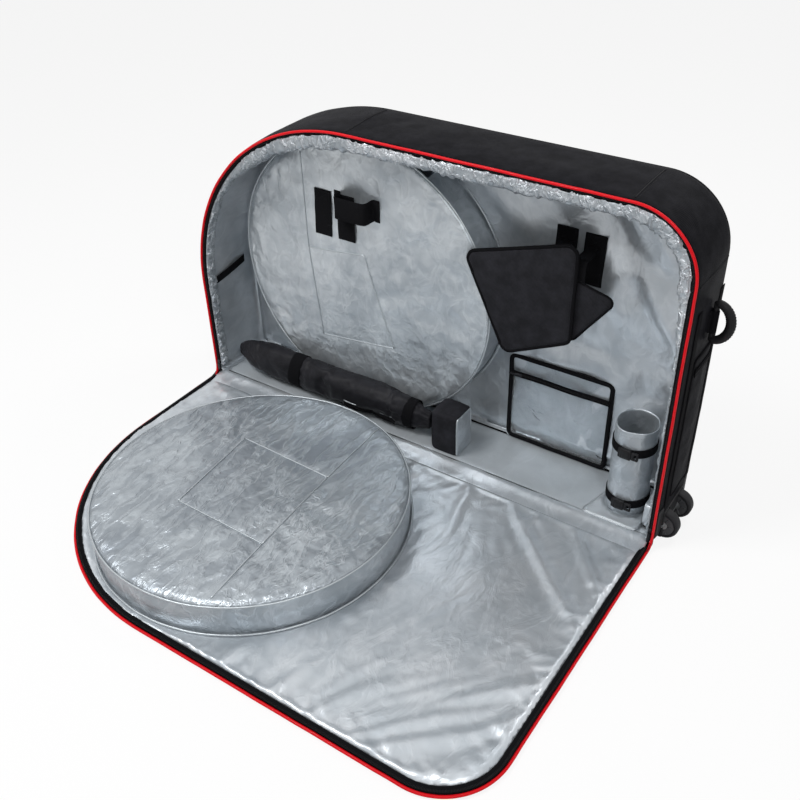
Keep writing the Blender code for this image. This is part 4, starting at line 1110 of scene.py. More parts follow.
def makeLining():
    front, innerBack = bag["front"], bag["innerBack"]

    def hollow(coords, run, normals):
        # the lining stands off the foam in long soft folds
        across = np.clip((coords[:, 1] - front) / (innerBack - front), 0, 1)
        free = smoothStep(0.2, 0.5, across) * smoothStep(bag["floor"] + 0.01, bag["floor"] + 0.08, coords[:, 2])
        pull = coords * (1, 0.35, 1)
        out = shell["liningWrinkle"] * free * np.clip(0.6 + wave(pull, 0.10, 8) + 0.7 * ridge(pull, 0.09, 2), 0.05, 3)
        return pushIn(coords, normals, out)

    spacing, radius = shell["liningSpacing"], shell["liningRadius"]
    profile = shellProfile(0.0110, bag["layers"], front + 0.0002, innerBack, radius, rows=18)
    gusset = sweepOutline("liningGusset", spacing, profile, silverLining, shape=hollow)
    wall, coords, edge = backFill("liningBack", bag["layers"] + radius, innerBack, shell["wallSpacing"], spacing,
                                  silverLining)
    coords[:, 1] -= smoothStep(0, 0.05, edge) * (0.004 + 0.003 * wave(coords, 0.10, 5))
    setCoords(wall, coords)
    settleCloth(wall, np.where(edge < 0.002, 1.0, 0.0), shell["wallGrowth"], frames=18, bending=1.0,
                limit=shell["wallReach"])
    coords = coordsOf(wall)
    coords[:, 1] = np.minimum(coords[:, 1], innerBack)
    behind = wallPocketShare(coords)
    coords[:, 1] = coords[:, 1] * (1 - behind) + innerBack * behind
    # broad slanting folds where it hangs loose beside the wheel pocket
    x, z = coords[:, 0], coords[:, 2]
    slant = raised(np.column_stack([x + 0.55 * z, 0.25 * z - 0.1 * x]))
    loose = smoothStep(0.20, 0.32, x) * smoothStep(0.34, 0.42, z) * smoothStep(0.0, 0.05, edge)
    folds = np.clip(ridge(slant, 0.17, 12) + 0.35 * wave(slant, 0.06, 13), -0.1, 1.3)
    coords[:, 1] -= loose * shell["looseFolds"] * folds
    setCoords(wall, coords)
    lining = weld(joinPieces("liningShell", gusset, wall))
    thicken(lining, shell["liningThickness"], offset=1.0)
    cutWheelWell(lining)
    shell["lining"] = lining
    attach(lining, "bag", "gusset_lining", "back_panel_lining", slot="silver_lining")


makeOuterShell()
makeCore()
makeLining()
print("shell made")


# trim of the opening: red piping, its half of the zip and the padded roll

trim = dict(cordInset=0.0035, cordRadius=0.0031, cordWobble=0.0004, tapeInset=(0.0066, 0.0158), tapeThickness=0.0014,
            coilInset=0.0092, seamInset=0.0143, rollSeam=0.0185, rollWobble=0.0034, rollStart=0.0054, rollReach=0.046,
            rollNose=0.0050, rollKeep=0.42)


def makeOpeningTrim():
    front, gap, start = bag["front"], bag["gap"], bag["trimStart"]
    pipeY = front - gap - trim["cordInset"]
    path = outlinePath(trim["cordInset"], pipeY, 0.008, start)
    # at both ends it runs down to the hinge
    foot = [(0, -0.0005, 0.031), (0, -0.0012, 0.026), (0.0006, -0.0022, 0.021), (0.0016, -0.0036, 0.0165)]
    for sign, end in ((-1, 0), (1, -1)):
        x = path[end][0]
        extra = [(x - sign * dx, pipeY + dy, z) for dx, dy, z in foot]
        path = np.vstack([extra[::-1], path]) if end == 0 else np.vstack([path, extra])
    cord = tubeAlong("openingPipingCord", wobbly(path, trim["cordWobble"], 1), trim["cordRadius"], redCord,
                     up=(0, 1, 0), sides=10)
    attach(cord, "bag", "opening_piping", slot="red_piping")

    y0 = front - gap
    face = y0 - trim["tapeThickness"]
    first, last = trim["tapeInset"]
    tape = sweepOutline("openingZipTape", 0.010, [(first, y0), (first, face), (last, face), (last, y0)], tapeBand,
                        start=start - 0.008, ring=True)
    attach(tape, "bag", "opening_zip_tape", slot="black_webbing")
    zipCoil("openingZipCoil", outlinePath(trim["coilInset"], face, start=start), (0, -1, 0), "bag", mainZip)
    sewLine("openingTapeStitches", [outlinePath(trim["seamInset"], face, start=start)], (0, -1, 0), "bag",
            threadBlack)


def makeOpeningRoll():
    # the padded roll inside the opening: full along the top, where it hangs over the zip tape, and slim at the sides
    front, start = bag["front"], bag["trimStart"]
    steps = 18
    low = bag["layers"] + bag["gap"]
    around = [(math.copysign(abs(math.cos(a)) ** 0.8, math.cos(a)), math.copysign(abs(math.sin(a)) ** 0.8, math.sin(a)))
              for a in 2 * math.pi * np.arange(steps) / steps]
    profile = [(low + 0.005 - 0.005 * c, front + 0.015 - 0.015 * s) for c, s in around]
    cosine, sine = np.array(around).T

    def plump(coords, run, normals):
        count = len(coords) // steps
        side = normals.reshape(count, steps, 2)[:, 0, :]
        outline = coords.reshape(count, steps, 3)[:, 0, (0, 2)] - side * low
        full = smoothStep(0.44, 0.74, outline[:, 1])
        full = np.where(outline[:, 0] > 0, full, full * smoothStep(-0.62, -0.40, outline[:, 0]))
        slim = np.clip(np.where(outline[:, 0] > 0, 0.25, 0.0), full, 1)
        first = low + (trim["rollStart"] - low) * full
        last = 0.0225 + 0.008 * slim + (trim["rollReach"] - 0.0305) * full
        nose = front - trim["rollNose"] * full
        tail = front + 0.030 + 0.006 * full
        place = np.column_stack([run, coords[:, 1] * 0.5, np.tile([p[0] for p in profile], count)])
        swell = 0.35 * wave(place, 0.045, 3) + 0.45 * wave(place, 0.016, 5) + 1.1 * (ridge(place, 0.024, 7) - 0.4)
        swell = swell.reshape(count, steps)
        inset = (first + last)[:, None] / 2 - (last - first)[:, None] / 2 * cosine[None]
        # sewn flat at its outer edge, plump and creased at its inner one
        inset += trim["rollWobble"] * swell * smoothStep(0.1, 0.9, -cosine[None] * 0.5 + 0.5)
        y = (nose + tail)[:, None] / 2 - (tail - nose)[:, None] / 2 * sine[None]
        y += np.where(sine[None] > 0.2, -1.0, 0.0) * 0.0020 * swell * full[:, None]
        plane = outline[:, None] + side[:, None] * inset[:, :, None]
        return frontView(plane.reshape(-1, 2), y.ravel())

    roll = sweepOutline("openingRoll", 0.0045, profile, rollLining, start=start, shape=plump, ring=True)
    attach(roll, "bag", "opening_rim_pad", slot="silver_lining")
    points, normals = outlineSamples(0.010, start + 0.004)
    line = frontView(points + normals * trim["rollSeam"], -0.09)
    sewLine("rollStitches", [surfaceHeights(surfaceOf(roll), line, (0, -1, 0), 0.0002)], (0, -1, 0), "bag")
    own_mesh(roll)


makeOpeningTrim()
makeOpeningRoll()
print("opening trim made")


# the door: outer cloth, lining, tape and piping

doorSizes = dict(ringSpacing=0.009, spacing=0.010, baseSpacing=0.016, rear=-0.1345, tapeInset=0.0205, tapeTop=0.0134,
                 liningHeight=0.0121, growth=0.010, bending=4.0, reach=0.016, zipGathers=0.0036, pocketGathers=0.0022,
                 clothThickness=0.0012, liningThickness=0.0008, cordRadius=0.0034)


def laidDown(points, z):
    # plane points of the standing opening laid down about the hinge, at heights above the floor
    return raised(np.column_stack([points[:, 0], bag["hingeY"] - (points[:, 1] - bag["hingeZ"])]), z)


def laidPath(inset, z, spacing=0.008):
    # a line along the door's edge
    points, normals = outlineSamples(spacing, bag["hingeZ"] + 0.0105)
    return laidDown(points + normals * inset, z)


def doorRing(inset, z=0.0):
    # points beside the door's edge, from one end of the hinge to the other
    points, normals = outlineSamples(doorSizes["ringSpacing"], bag["hingeZ"] + 0.0125)
    return laidDown(points + normals * inset, z)


def doorStrip(name, rows, *materials, uv=None):
    # a strip of cloth along the door's edge, through (inset, height) rows
    coords = [doorRing(inset, z) for inset, z in rows]
    return meshPiece(name, np.vstack(coords), turnedOver(gridFaces(len(rows), len(coords[0]))), *materials, uv=uv)


def makeDoorCloth():
    # flat on the floor, turned up round the edge and in under the zip tape
    edge = bag["panelInset"]
    side = doorStrip("doorSide", [(edge + 0.004, 0.01165), (edge + 0.0012, 0.01160), (edge, 0.0108), (edge, 0.006),
                                  (edge, 0.0012), (edge + 0.0010, 0.0002), (edge + 0.006, 0.0)], outerCloth)
    inner = doorRing(edge + 0.006)[:, :2]
    loop = np.vstack([inner, evenLine([inner[-1], inner[0]], doorSizes["ringSpacing"])[1:-1]])
    plane, faces = fillOutline(loop, doorSizes["baseSpacing"])
    away = distanceToLoops(plane, [loop])
    lift = smoothStep(0, 0.05, away) * np.clip(0.0006 + 0.0012 * wave(raised(plane), 0.12, 9), 0, 0.0014)
    outer = faceOutwards(weld(joinPieces("doorOuter", side, meshPiece("doorBase", raised(plane, lift), faces,
                                                                      outerCloth))))
    turnSheet(outer, 2, -1)
    thicken(outer, doorSizes["clothThickness"])
    attach(outer, "door", "door_fabric", slot="black_polyester")
    nodes["door_foam"].data.materials[0] = foamFinish


def makeDoorLining():
    # a sheet cut a little too large for its seams
    rear, height = doorSizes["rear"], doorSizes["liningHeight"]
    rim = doorRing(doorSizes["tapeInset"] - 0.002)[:, :2]
    rim = rim[rim[:, 1] < rear]
    loop = np.vstack([rim, evenLine([(rim[-1][0], rear), (rim[0][0], rear)], doorSizes["ringSpacing"])])
    plane, faces = fillOutline(loop, doorSizes["spacing"])
    away = distanceToLoops(plane, [loop])
    z = height + smoothStep(0, 0.03, away) * (0.0022 + 0.0018 * wave(raised(plane), 0.10, 2))
    lining = meshPiece("doorLining", raised(plane, z), faces, silverLining, uv=plane)
    under = meshPiece("under", [(-1, -1.5, 0.0102), (1, -1.5, 0.0102), (1, 0.5, 0.0102), (-1, 0.5, 0.0102)],
                      [(0, 1, 2, 3)])
    settleCloth(lining, (away < 0.001).astype(float), doorSizes["growth"], frames=22, gravity=(0, 0, -1.2),
                bending=doorSizes["bending"], under=[under], limit=doorSizes["reach"])
    bpy.data.objects.remove(under)
    coords = coordsOf(lining)
    # short gathers along the zip, where the lining is sewn to the tape
    run = np.arctan2(coords[:, 1] + 0.5, coords[:, 0]) * 0.55
    gather = raised(np.column_stack([run, away * 0.25]))
    near = smoothStep(0.0, 0.010, away) * (1 - smoothStep(0.02, 0.07, away))
    rearShare = 1 - smoothStep(0, 0.04, rear - coords[:, 1])
    coords[:, 2] += (near * (1 - rearShare) * doorSizes["zipGathers"]
                     * np.clip(wave(gather, 0.018, 11) + 0.3, -0.2, 1.2))
    # it is also held down under the wheel pocket, and gathers away from that seam
    low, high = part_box("door_pocket_side")
    radius = (high.x - low.x) / 2
    fromMiddle = coords[:, :2] - (low.x + radius, low.y + radius)
    beyond = np.linalg.norm(fromMiddle, axis=1) - radius
    turned = raised(np.column_stack([np.arctan2(fromMiddle[:, 1], fromMiddle[:, 0]) * radius, beyond * 0.25]))
    coords[:, 2] = 0.0122 + (coords[:, 2] - 0.0122) * smoothStep(0.004, 0.040, beyond)
    coords[:, 2] += (smoothStep(0.004, 0.012, beyond) * (1 - smoothStep(0.02, 0.07, beyond))
                     * doorSizes["pocketGathers"] * np.clip(wave(turned, 0.022, 14) + 0.2, -0.2, 1.2))
    coords[:, 2] = np.maximum(coords[:, 2], 0.0114)
    setCoords(lining, coords)
    refineTriangles(lining)
    thicken(lining, doorSizes["liningThickness"])
    attach(lining, "door", "door_lining", slot="silver_lining")


def makeDoorTrim():
    # red piping, zip tape and coil round the free edge
    edge, top, spacing = bag["panelInset"], doorSizes["tapeTop"], doorSizes["ringSpacing"]
    cord = tubeAlong("doorPipingCord", wobbly(laidPath(0.0035, 0.0066), 0.0005, 5), doorSizes["cordRadius"], redCord,
                     sides=10)
    attach(cord, "door", "door_piping", slot="red_piping")
    rows = [(edge - 0.0012, 0.0116), (edge - 0.0012, top - 0.0002), (edge + 0.0006, top), (edge + 0.0125, top + 0.0002),
            (edge + 0.0132, top - 0.0004), (edge + 0.0132, doorSizes["liningHeight"])]
    count = len(doorRing(0))
    uv = np.column_stack([np.tile(np.arange(count) * spacing, len(rows)), np.repeat([row[0] for row in rows], count)])
    tape = faceOutwards(doorStrip("doorZipTape", rows, tapeBand, uv=uv))
    turnSheet(tape, 2)
    attach(tape, "door", "door_zip_tape", slot="black_webbing")
    zipCoil("doorZipCoil", laidPath(edge + 0.0022, top), (0, 0, 1), "door", mainZip)
    sewLine("doorTapeStitches", [laidPath(edge + 0.0112, top + 0.0003)], (0, 0, 1), "door", threadBlack)


makeDoorCloth()
makeDoorLining()
makeDoorTrim()
print("door made")


# the lining over the hinge, between the bag's floor and the door

hinge = dict(halfWidth=0.6380, columns=160, start=(0, -0.0925, 0.0116), end=(0, -0.1180, 0.0116), outerInset=0.0030,
             cordRadius=0.0033, clothThickness=0.0008)


def crossHinge(item):
    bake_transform(item)


def makeHingeCloth():
    rows = [(-0.0840, 0.0216), (-0.0900, 0.0224), (-0.0960, 0.0224), (-0.1020, 0.0205), (-0.1090, 0.0180),
            (-0.1160, 0.0160), (-0.1240, 0.0146), (-0.1320, 0.0137), (-0.1400, 0.0130), (-0.1460, 0.0124)]
    half = hinge["halfWidth"]
    coords = np.array([(x, y, z) for x in np.linspace(-half, half, hinge["columns"] + 1) for y, z in rows])
    # it dips to the zip at both ends, and gathers along the fold
    last = smoothStep(half - 0.016, half, np.abs(coords[:, 0]))
    inner = np.sin(np.pi * np.clip((coords[:, 1] + 0.146) / 0.062, 0, 1))
    stretched = raised(coords[:, :2] * (1, 0.6))
    coords[:, 2] += inner * (0.0016 * wave(stretched, 0.05, 4) + 0.0014 * ridge(stretched, 0.06, 8) - 0.0006)
    coords[:, 2] -= last * np.clip(coords[:, 2] - 0.0128, 0, 0.006)
    cloth = meshPiece("hingeLining", coords, gridFaces(hinge["columns"] + 1, len(rows)), silverLining)
    turnSheet(cloth, 2)
    smoothUp(cloth)
    thicken(cloth, hinge["clothThickness"])
    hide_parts("door_hinge_roll")
    crossHinge(cloth)

    # the outer cloth passes under the fold and closes it at both ends
    edge, columns = bag["right"] - hinge["outerInset"], 90
    under = [(-0.0860, 0.0052), (-0.0940, 0.0030), (-0.1030, 0.0012), (-0.1120, 0.0008), (-0.1220, 0.0008)]
    tops = [0.0345, 0.0270, 0.0185, 0.0135, 0.0112]
    coords = [(x, y, z) for x in np.linspace(-edge, edge, columns) for y, z in under]
    faces = gridFaces(columns, len(under))
    for x in (-edge, edge):
        base = len(coords)
        for (y, z), top in zip(under, tops):
            coords += [(x, y, z), (x, y, (z + top) / 2), (x, y, top)]
        faces += [tuple(base + v for v in face) for face in turnedOver(gridFaces(len(under), 3))]
    skin = faceOutwards(weld(meshPiece("hingeOuter", coords, faces, outerCloth)))
    thicken(skin, hinge["clothThickness"], offset=0)
    crossHinge(skin)
    for name, x in (("hingePipingLeft", bag["left"] + 0.0035), ("hingePipingRight", bag["right"] - 0.0035)):
        path = [(x, -0.0985, 0.0225), (x, -0.1000, 0.0165), (x, -0.1040, 0.0115), (x, -0.1090, 0.0080),
                (x, -0.1150, 0.0067)]
        cord = tubeAlong(name, evenLine(path, 0.003), hinge["cordRadius"], redCord, up=(1, 0, 0), sides=10)
        crossHinge(cord)


makeHingeCloth()
print("hinge cloth made")


# the two wheel pockets: a crumpled round face on a folded side wall

pocketLooks = dict(spacing=0.0085, growth=0.014, bending=0.12, stiffness=18, reach=0.009, crown=0.0045, rim=0.038,
                   rimHeight=0.0078, sideSpacing=0.008, sideBulge=0.0025, sideFold=0.0030, mouth=math.radians(32),
                   seamDepth=0.0018, seamWidth=0.0045, pleats=0.0012, creases=0.0007, foldedKeep=0.1875,
                   cordRadius=0.0021, weltRadius=0.0015, flangeRadius=0.0024)
doorPocket = dict(name="doorPocket", nodes=("door_pocket_side", "door_pocket_face", "door_pocket_piping"),
                  body="door", cover="door_pocket_cover", behind="door_lining", cloth=drumLining, lumps=0.34, seed=1,
                  axes=((1, 0, 0), (0, 1, 0), (0, 0, 1)),
                  patch=((-0.265, -0.6255), (-0.288, -0.3735), (-0.031, -0.3825), (-0.017, -0.6285)),
                  seams=(((-0.040, -0.150), (-0.031, -0.3825)), ((-0.017, -0.6285), (-0.005, -0.800))))
wallPocket = dict(name="wallPocket", nodes=("wall_pocket_side", "wall_pocket_face", "wall_pocket_piping"),
                  body="bag", cover="bag", behind="back_panel_lining", cloth=pocketLining, lumps=0.42, seed=5,
                  axes=((1, 0, 0), (0, 0, 1), (0, -1, 0)),
                  patch=((-0.319, 0.1996), (-0.345, 0.4456), (-0.175, 0.4666), (-0.095, 0.2286)),
                  seams=(((-0.345, 0.4456), (-0.350, 0.690)),))


def measurePocket(kind):
    # the pocket is drawn flat, its middle at zero: axes and the two origins take the drawing to its place
    axes = np.array(kind["axes"], float)
    low, high = (np.array(corner) @ axes.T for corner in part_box(kind["nodes"][0]))
    low, high = np.minimum(low, high), np.maximum(low, high)
    radius = (high[0] - low[0]) / 2
    middle = np.array((low[0] + radius, low[1] + radius))
    patch = [np.array(point) - middle for point in kind["patch"]]
    kind.update(axes=axes, radius=radius, depth=high[2] - low[2], floor=low[2], corners=patch,
                foot=np.array((*middle, low[2])) @ axes, top=np.array((*middle, high[2])) @ axes,
                begin=math.pi / 2 + pocketLooks["mouth"], turn=2 * math.pi - 2 * pocketLooks["mouth"],
                outline=[(patch[i], patch[(i + 1) % 4]) for i in range(4)],
                seams=[(np.array(a) - middle, np.array(b) - middle) for a, b in kind["seams"]])


def makePocketSide(kind):
    # side wall, open at the mouth
    radius, depth, begin, turn, seed = (kind[key] for key in ("radius", "depth", "begin", "turn", "seed"))
    columns = round(turn * radius / pocketLooks["sideSpacing"])
    rows = [(0.0030, 0.0), (0.0012, 0.0022), (-0.0006, 0.006), (-0.0004, 0.014), (0.0006, 0.024), (0.0010, 0.034),
            (0.0012, 0.044), (0.0010, 0.054), (0.0004, 0.064), (-0.0004, 0.072), (-0.0008, 0.0775), (-0.0006, depth)]
    coords, uv = [], []
    for i in range(columns + 1):
        angle = begin + turn * i / columns
        for out, w in rows:
            r = radius - 0.0014 + out
            coords.append((r * math.cos(angle), r * math.sin(angle), w))
            uv.append((angle * radius, w))
    coords, uv = np.array(coords), np.array(uv)
    free = np.sin(np.pi * np.clip(uv[:, 1] / depth, 0, 1)) ** 0.7
    # nearly straight below the piping, so that the folded wall stays clear of it
    free *= 1 - 0.85 * smoothStep(0.66, 0.86, uv[:, 1] / depth)
    tall = raised(uv * (1, 0.35))
    out = free * (pocketLooks["sideBulge"] + pocketLooks["sideFold"] * wave(tall, 0.085, seed)
                  - 1.6 * pocketLooks["sideFold"] * ridge(tall, 0.16, seed + 2) * 0.5)
    ray = coords[:, :2] / np.linalg.norm(coords[:, :2], axis=1)[:, None]
    coords[:, :2] += ray * out[:, None]
    side = meshPiece(kind["name"] + "Side", coords, gridFaces(columns + 1, len(rows)), shadedSideLining, uv=uv)
    smoothUp(side)
    thicken(side, 0.0009)
    placeBy(side, kind["axes"], kind["foot"])
    attach(side, kind["body"], kind["nodes"][0], slot="silver_lining")
    if kind["body"] == "door":
        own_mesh(side)


def makePocketFace(kind):
    # the top cloth is simulated between its seams, the back one is flat
    radius, seed, spacing, cloth = kind["radius"], kind["seed"], pocketLooks["spacing"], kind["cloth"]
    count = round(2 * math.pi * radius / spacing)
    loop = circle(radius - 0.0008, np.arange(count) * 2 * math.pi / count)
    plane, faces = fillOutline(loop, spacing)
    away = distanceToLoops(plane, [loop])
    inside = insideLoops(plane, [np.array(kind["corners"])])
    toSeam = lineDistance(plane, kind["outline"] + kind["seams"])
    place = raised(plane)
    start = 0.0012 * wave(place, 0.06, seed) * smoothStep(0, 0.03, away)
    top = meshPiece(kind["name"] + "Top", raised(plane, start), faces, cloth, uv=plane)
    held = np.where(away < 0.001, 1.0, np.where(toSeam < 0.004, 0.55, 0.0))
    settleCloth(top, held, pocketLooks["growth"], frames=16, bending=pocketLooks["bending"],
                stiffness=pocketLooks["stiffness"], limit=pocketLooks["reach"])
    lumps = coordsOf(top)[:, 2] * kind["lumps"]
    lumps += pocketLooks["creases"] * (ridge(place * (1, 0.5, 1), 0.030, seed + 4) - 0.35)
    lumps = np.where(inside, lumps * 0.45, lumps)
    rim = np.sqrt(np.clip(1 - (1 - np.clip(away / pocketLooks["rim"], 0, 1)) ** 2, 0, 1))
    crown = pocketLooks["crown"] * (1 - (np.linalg.norm(plane, axis=1) / radius) ** 2)
    # short pleats where the round seam gathers the cloth
    pleat = raised(np.column_stack([np.arctan2(plane[:, 1], plane[:, 0]) * radius, away * 0.3]))
    gathers = (pocketLooks["pleats"] * wave(pleat, 0.014, seed + 3) * smoothStep(0, 0.008, away)
               * (1 - smoothStep(0.02, 0.06, away)))
    height = 0.0010 + pocketLooks["rimHeight"] * rim + crown + (lumps + gathers) * smoothStep(0, 0.012, away)
    height -= (pocketLooks["seamDepth"] * np.exp(-(toSeam / pocketLooks["seamWidth"]) ** 2)
               * smoothStep(0, 0.01, away))
    moved = coordsOf(top)
    moved[:, 2] = np.maximum(height, 0.0008)
    setCoords(top, moved)
    refineTriangles(top)
    back, backFaces = fillOutline(loop, 0.030)
    lower = meshPiece("lower", raised(back, 0.0006), backFaces, cloth)
    lower.data.flip_normals()
    thicken(lower, 0.0006, offset=1.0)
    coords = coordsOf(lower)
    coords[:, 2] = np.minimum(coords[:, 2], 0.0007)
    setCoords(lower, coords)
    thicken(top, 0.0007)
    face = joinPieces(kind["name"] + "Face", top, lower)
    face.data.shade_smooth()
    placeBy(face, kind["axes"], kind["top"])
    kind["surface"] = surfaceOf(face)
    attach(face, kind["cover"], kind["nodes"][1], slot="silver_lining")


def makePocketSeams(kind):
    # piping where face and side meet, the stitched and welted patch, and the seam to the panel behind
    name, axes, top, cover, surface = (kind[key] for key in ("name", "axes", "top", "cover", "surface"))
    radius, seed, normal = kind["radius"], kind["seed"], axes[2]
    count = round(2 * math.pi * radius / pocketLooks["spacing"])
    ring = raised(circle(radius + 0.0006, np.arange(count) * 2 * math.pi / count), 0.0006)
    cord = tubeAlong(name + "Piping", wobbly(ring, 0.0005, seed), pocketLooks["cordRadius"], silverCord, closed=True)
    placeBy(cord, axes, top)
    attach(cord, cover, kind["nodes"][2], slot="silver_lining")
    lines = []
    for pair in kind["outline"] + kind["seams"]:
        line = evenLine(pair, 0.008)
        line = raised(line[np.linalg.norm(line, axis=1) < radius - 0.006]) @ axes + top
        lines.append(surfaceHeights(surface, line, normal, 0.0002))
    sewLine(name + "Stitches", lines, tuple(normal), cover)
    welts = joinPieces(name + "SeamWelts", *[
        tubeAlong("welt%d" % i, evenLine(line + normal * 0.0006, 0.006), pocketLooks["weltRadius"], silverCord)
        for i, line in enumerate(lines)])
    attach(welts, cover, slot="silver_lining")
    ring = raised(circle(radius - 0.0065, np.linspace(0, 2 * math.pi, 300))) @ axes + top
    sewLine(name + "RimStitches", [surfaceHeights(surface, ring, normal, 0.0002)], tuple(normal), cover)
    span = kind["begin"] + kind["turn"] * np.linspace(0, 1, 300)
    flange = tubeAlong(name + "Flange", wobbly(raised(circle(radius + 0.0042, span), 0.0032), 0.0006, seed + 6),
                       pocketLooks["flangeRadius"], silverCord)
    placeBy(flange, axes, kind["foot"])
    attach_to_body(flange, kind["body"])


for kind in (doorPocket, wallPocket):
    measurePocket(kind)
    makePocketSide(kind)
    makePocketFace(kind)
    makePocketSeams(kind)
print("wheel pockets made")


# the drivetrain sleeve: a slack cloth bag, tied at its right end

sleeve = dict(rings=120, around=40, slack=0.96, growth=0.030, pressure=1.5, bending=0.10, stiffness=10, limit=0.0075,
              strapX=-0.385, strapWidth=0.038, gatherX=-0.026, gatherWidth=0.034, lumps=0.0035,
              zipStart=-0.215, zipEnd=-0.062, seamOffset=0.006)


def castOut(tree, center, direction):
    hit = tree.ray_cast(Vector(center), Vector(direction))[0]
    return (hit - Vector(center)).length if hit is not None else 0.01


def makeSleeve():
    low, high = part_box("drivetrain_sleeve")
    middleY, middleZ = (low.y + high.y) / 2, (low.z + high.z) / 2
    tree = surfaceOf(nodes["drivetrain_sleeve"])
    rings, around = sleeve["rings"], sleeve["around"]
    strapX, gatherX = sleeve["strapX"], sleeve["gatherX"]
    xs = low.x + (high.x - low.x) * (0.004 + 0.992 * np.arange(rings) / (rings - 1))
    coords = []
    for x in xs:
        for angle in 2 * math.pi * np.arange(around) / around:
            ray = (0, math.cos(angle), math.sin(angle))
            size = castOut(tree, (x, middleY, middleZ), ray) * sleeve["slack"]
            coords.append((x, middleY + ray[1] * size, middleZ + ray[2] * size))
    coords = np.array(coords)
    faces = gridFaces(rings, around, ring=True)
    faces += [tuple(range(around)), tuple(range((rings - 1) * around, rings * around))[::-1]]

    def outwardOf(coords):
        outward = coords - np.array((0, middleY, middleZ))
        outward[:, 0] = 0
        return outward / np.linalg.norm(outward, axis=1)[:, None]

    # hollows and swellings that the folded cloth inside gives it
    away = np.minimum(np.abs(coords[:, 0] - strapX), np.abs(coords[:, 0] - gatherX))
    coords += outwardOf(coords) * (sleeve["lumps"] * wave(coords, 0.09, 3) * smoothStep(0.01, 0.05, away))[:, None]
    cloth = faceOutwards(meshPiece("sleeve", coords, faces, sleeveCloth))
    coords = coordsOf(cloth)
    ends = np.minimum(coords[:, 0] - low.x, high.x - coords[:, 0])
    tied = (np.abs(coords[:, 0] - strapX) < 0.016) | (ends < 0.012) | (np.abs(coords[:, 0] - gatherX) < 0.014)
    held = np.maximum(np.where(tied, 1.0, 0.0), np.where(coords[:, 2] < low.z + 0.006, 0.7, 0.0))
    settleCloth(cloth, held, sleeve["growth"], frames=20, pressure=sleeve["pressure"], bending=sleeve["bending"],
                stiffness=sleeve["stiffness"], limit=sleeve["limit"])
    coords = coordsOf(cloth)
    # long creases that run out of the gather, and a few from the strap
    for place, reach, depth, seed in ((gatherX, 0.16, 0.0050, 5), (strapX, 0.07, 0.0026, 9)):
        away = np.abs(coords[:, 0] - place)
        angle = np.arctan2(coords[:, 2] - middleZ, coords[:, 1] - middleY)
        line = np.column_stack([np.cos(angle) * 0.06, np.sin(angle) * 0.06, coords[:, 0] * 0.22])
        share = (1 - smoothStep(0.0, reach, away)) * smoothStep(0.008, 0.03, away)
        coords += outwardOf(coords) * (depth * share * (ridge(line, 0.030, seed) - 0.45))[:, None]
    coords[:, 1] = np.clip(coords[:, 1], low.y - 0.0015, high.y + 0.0010)
    coords[:, 2] = np.maximum(coords[:, 2], low.z + 0.0002)
    setCoords(cloth, coords)
    smoothUp(cloth)
    attach(cloth, "bag", "drivetrain_sleeve", slot="black_polyester")
    surface = surfaceOf(cloth)

    def ringAround(x, lean, lift):
        # a loop on the sleeve, leaning along x towards its top
        points = []
        for angle in np.linspace(0, 2 * math.pi, 65)[:-1]:
            ray = (0, math.cos(angle), math.sin(angle))
            at = x + lean * math.sin(angle)
            size = castOut(surface, (at, middleY, middleZ), ray) + lift
            z = max(middleZ + ray[2] * size, bag["floor"] + 0.0052)
            points.append((at, middleY + ray[1] * size, z))
        return evenLoop(points, 0.006)

    for name, x, lean, width, *solids in (("sleeveStrap", strapX, 0.006, sleeve["strapWidth"], "sleeve_strap"),
                                          ("sleeveGatherStrap", gatherX, 0.004, sleeve["gatherWidth"])):
        band = bandAlong(name, ringAround(x, lean, 0.0012), width, 0.0016, (1, 0, 0), webBand, closed=True)
        attach(band, "bag", *solids, slot="black_webbing")

    # the zip along its lower front, with a thin silver cord along the tape's upper edge
    path = []
    for x in np.linspace(sleeve["zipStart"], sleeve["zipEnd"], 22):
        z = middleZ - 0.021 - 0.007 * (x - sleeve["zipStart"]) / 0.15
        hit = surface.ray_cast(Vector((x, low.y - 0.1, z)), Vector((0, 1, 0)))[0]
        path.append((x, hit.y - 0.0010, z))
    path = np.array(path)
    tape = bandAlong("sleeveZipTape", path, 0.016, 0.0014, (0, 0, 1), tapeBand)
    attach(tape, "bag", slot="black_webbing")
    zipCoil("sleeveZipCoil", path - (0, 0.0007, 0), (0, -1, 0), "bag", smallZip)
    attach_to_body(tubeAlong("sleeveZipWelt", path + (0, -0.0006, 0.0085), 0.0013, silverCord), "bag")
    # a stitched seam of two rows along the top, left out under the strap
    lines = []
    for side in (0.004, -0.004):
        line = []
        for x in np.linspace(low.x + 0.015, gatherX - 0.03, 90):
            if abs(x - strapX) < 0.022:
                continue
            above = Vector((x, middleY + sleeve["seamOffset"] + side, high.z + 0.1))
            hit = surface.ray_cast(above, Vector((0, 0, -1)))[0]
            line.append((x, hit.y, hit.z + 0.0002))
        lines.append(line)
    sewLine("sleeveStitches", lines, (0, 0, 1), "bag", threadBlack)


makeSleeve()
print("drivetrain sleeve made")


def rectangle(low, high, inset=0.0):
    # the corners of a plane rectangle, drawn in from its edges
    (x0, z0), (x1, z1) = low, high
    return [(x0 + inset, z0 + inset), (x1 - inset, z0 + inset), (x1 - inset, z1 - inset), (x0 + inset, z1 - inset)]


def endView(points, x):
    # plane points (y, z) stood up at one place along the bag
    return np.column_stack([np.full(len(points), x), points])


# the frame block on the floor, black with one silver side

frameBlock = dict(radius=0.007, crown=0.0022, wrinkle=0.0008, cordInset=0.003, cordOut=0.0016, cordRadius=0.0020,
                  seamDrop=0.012)


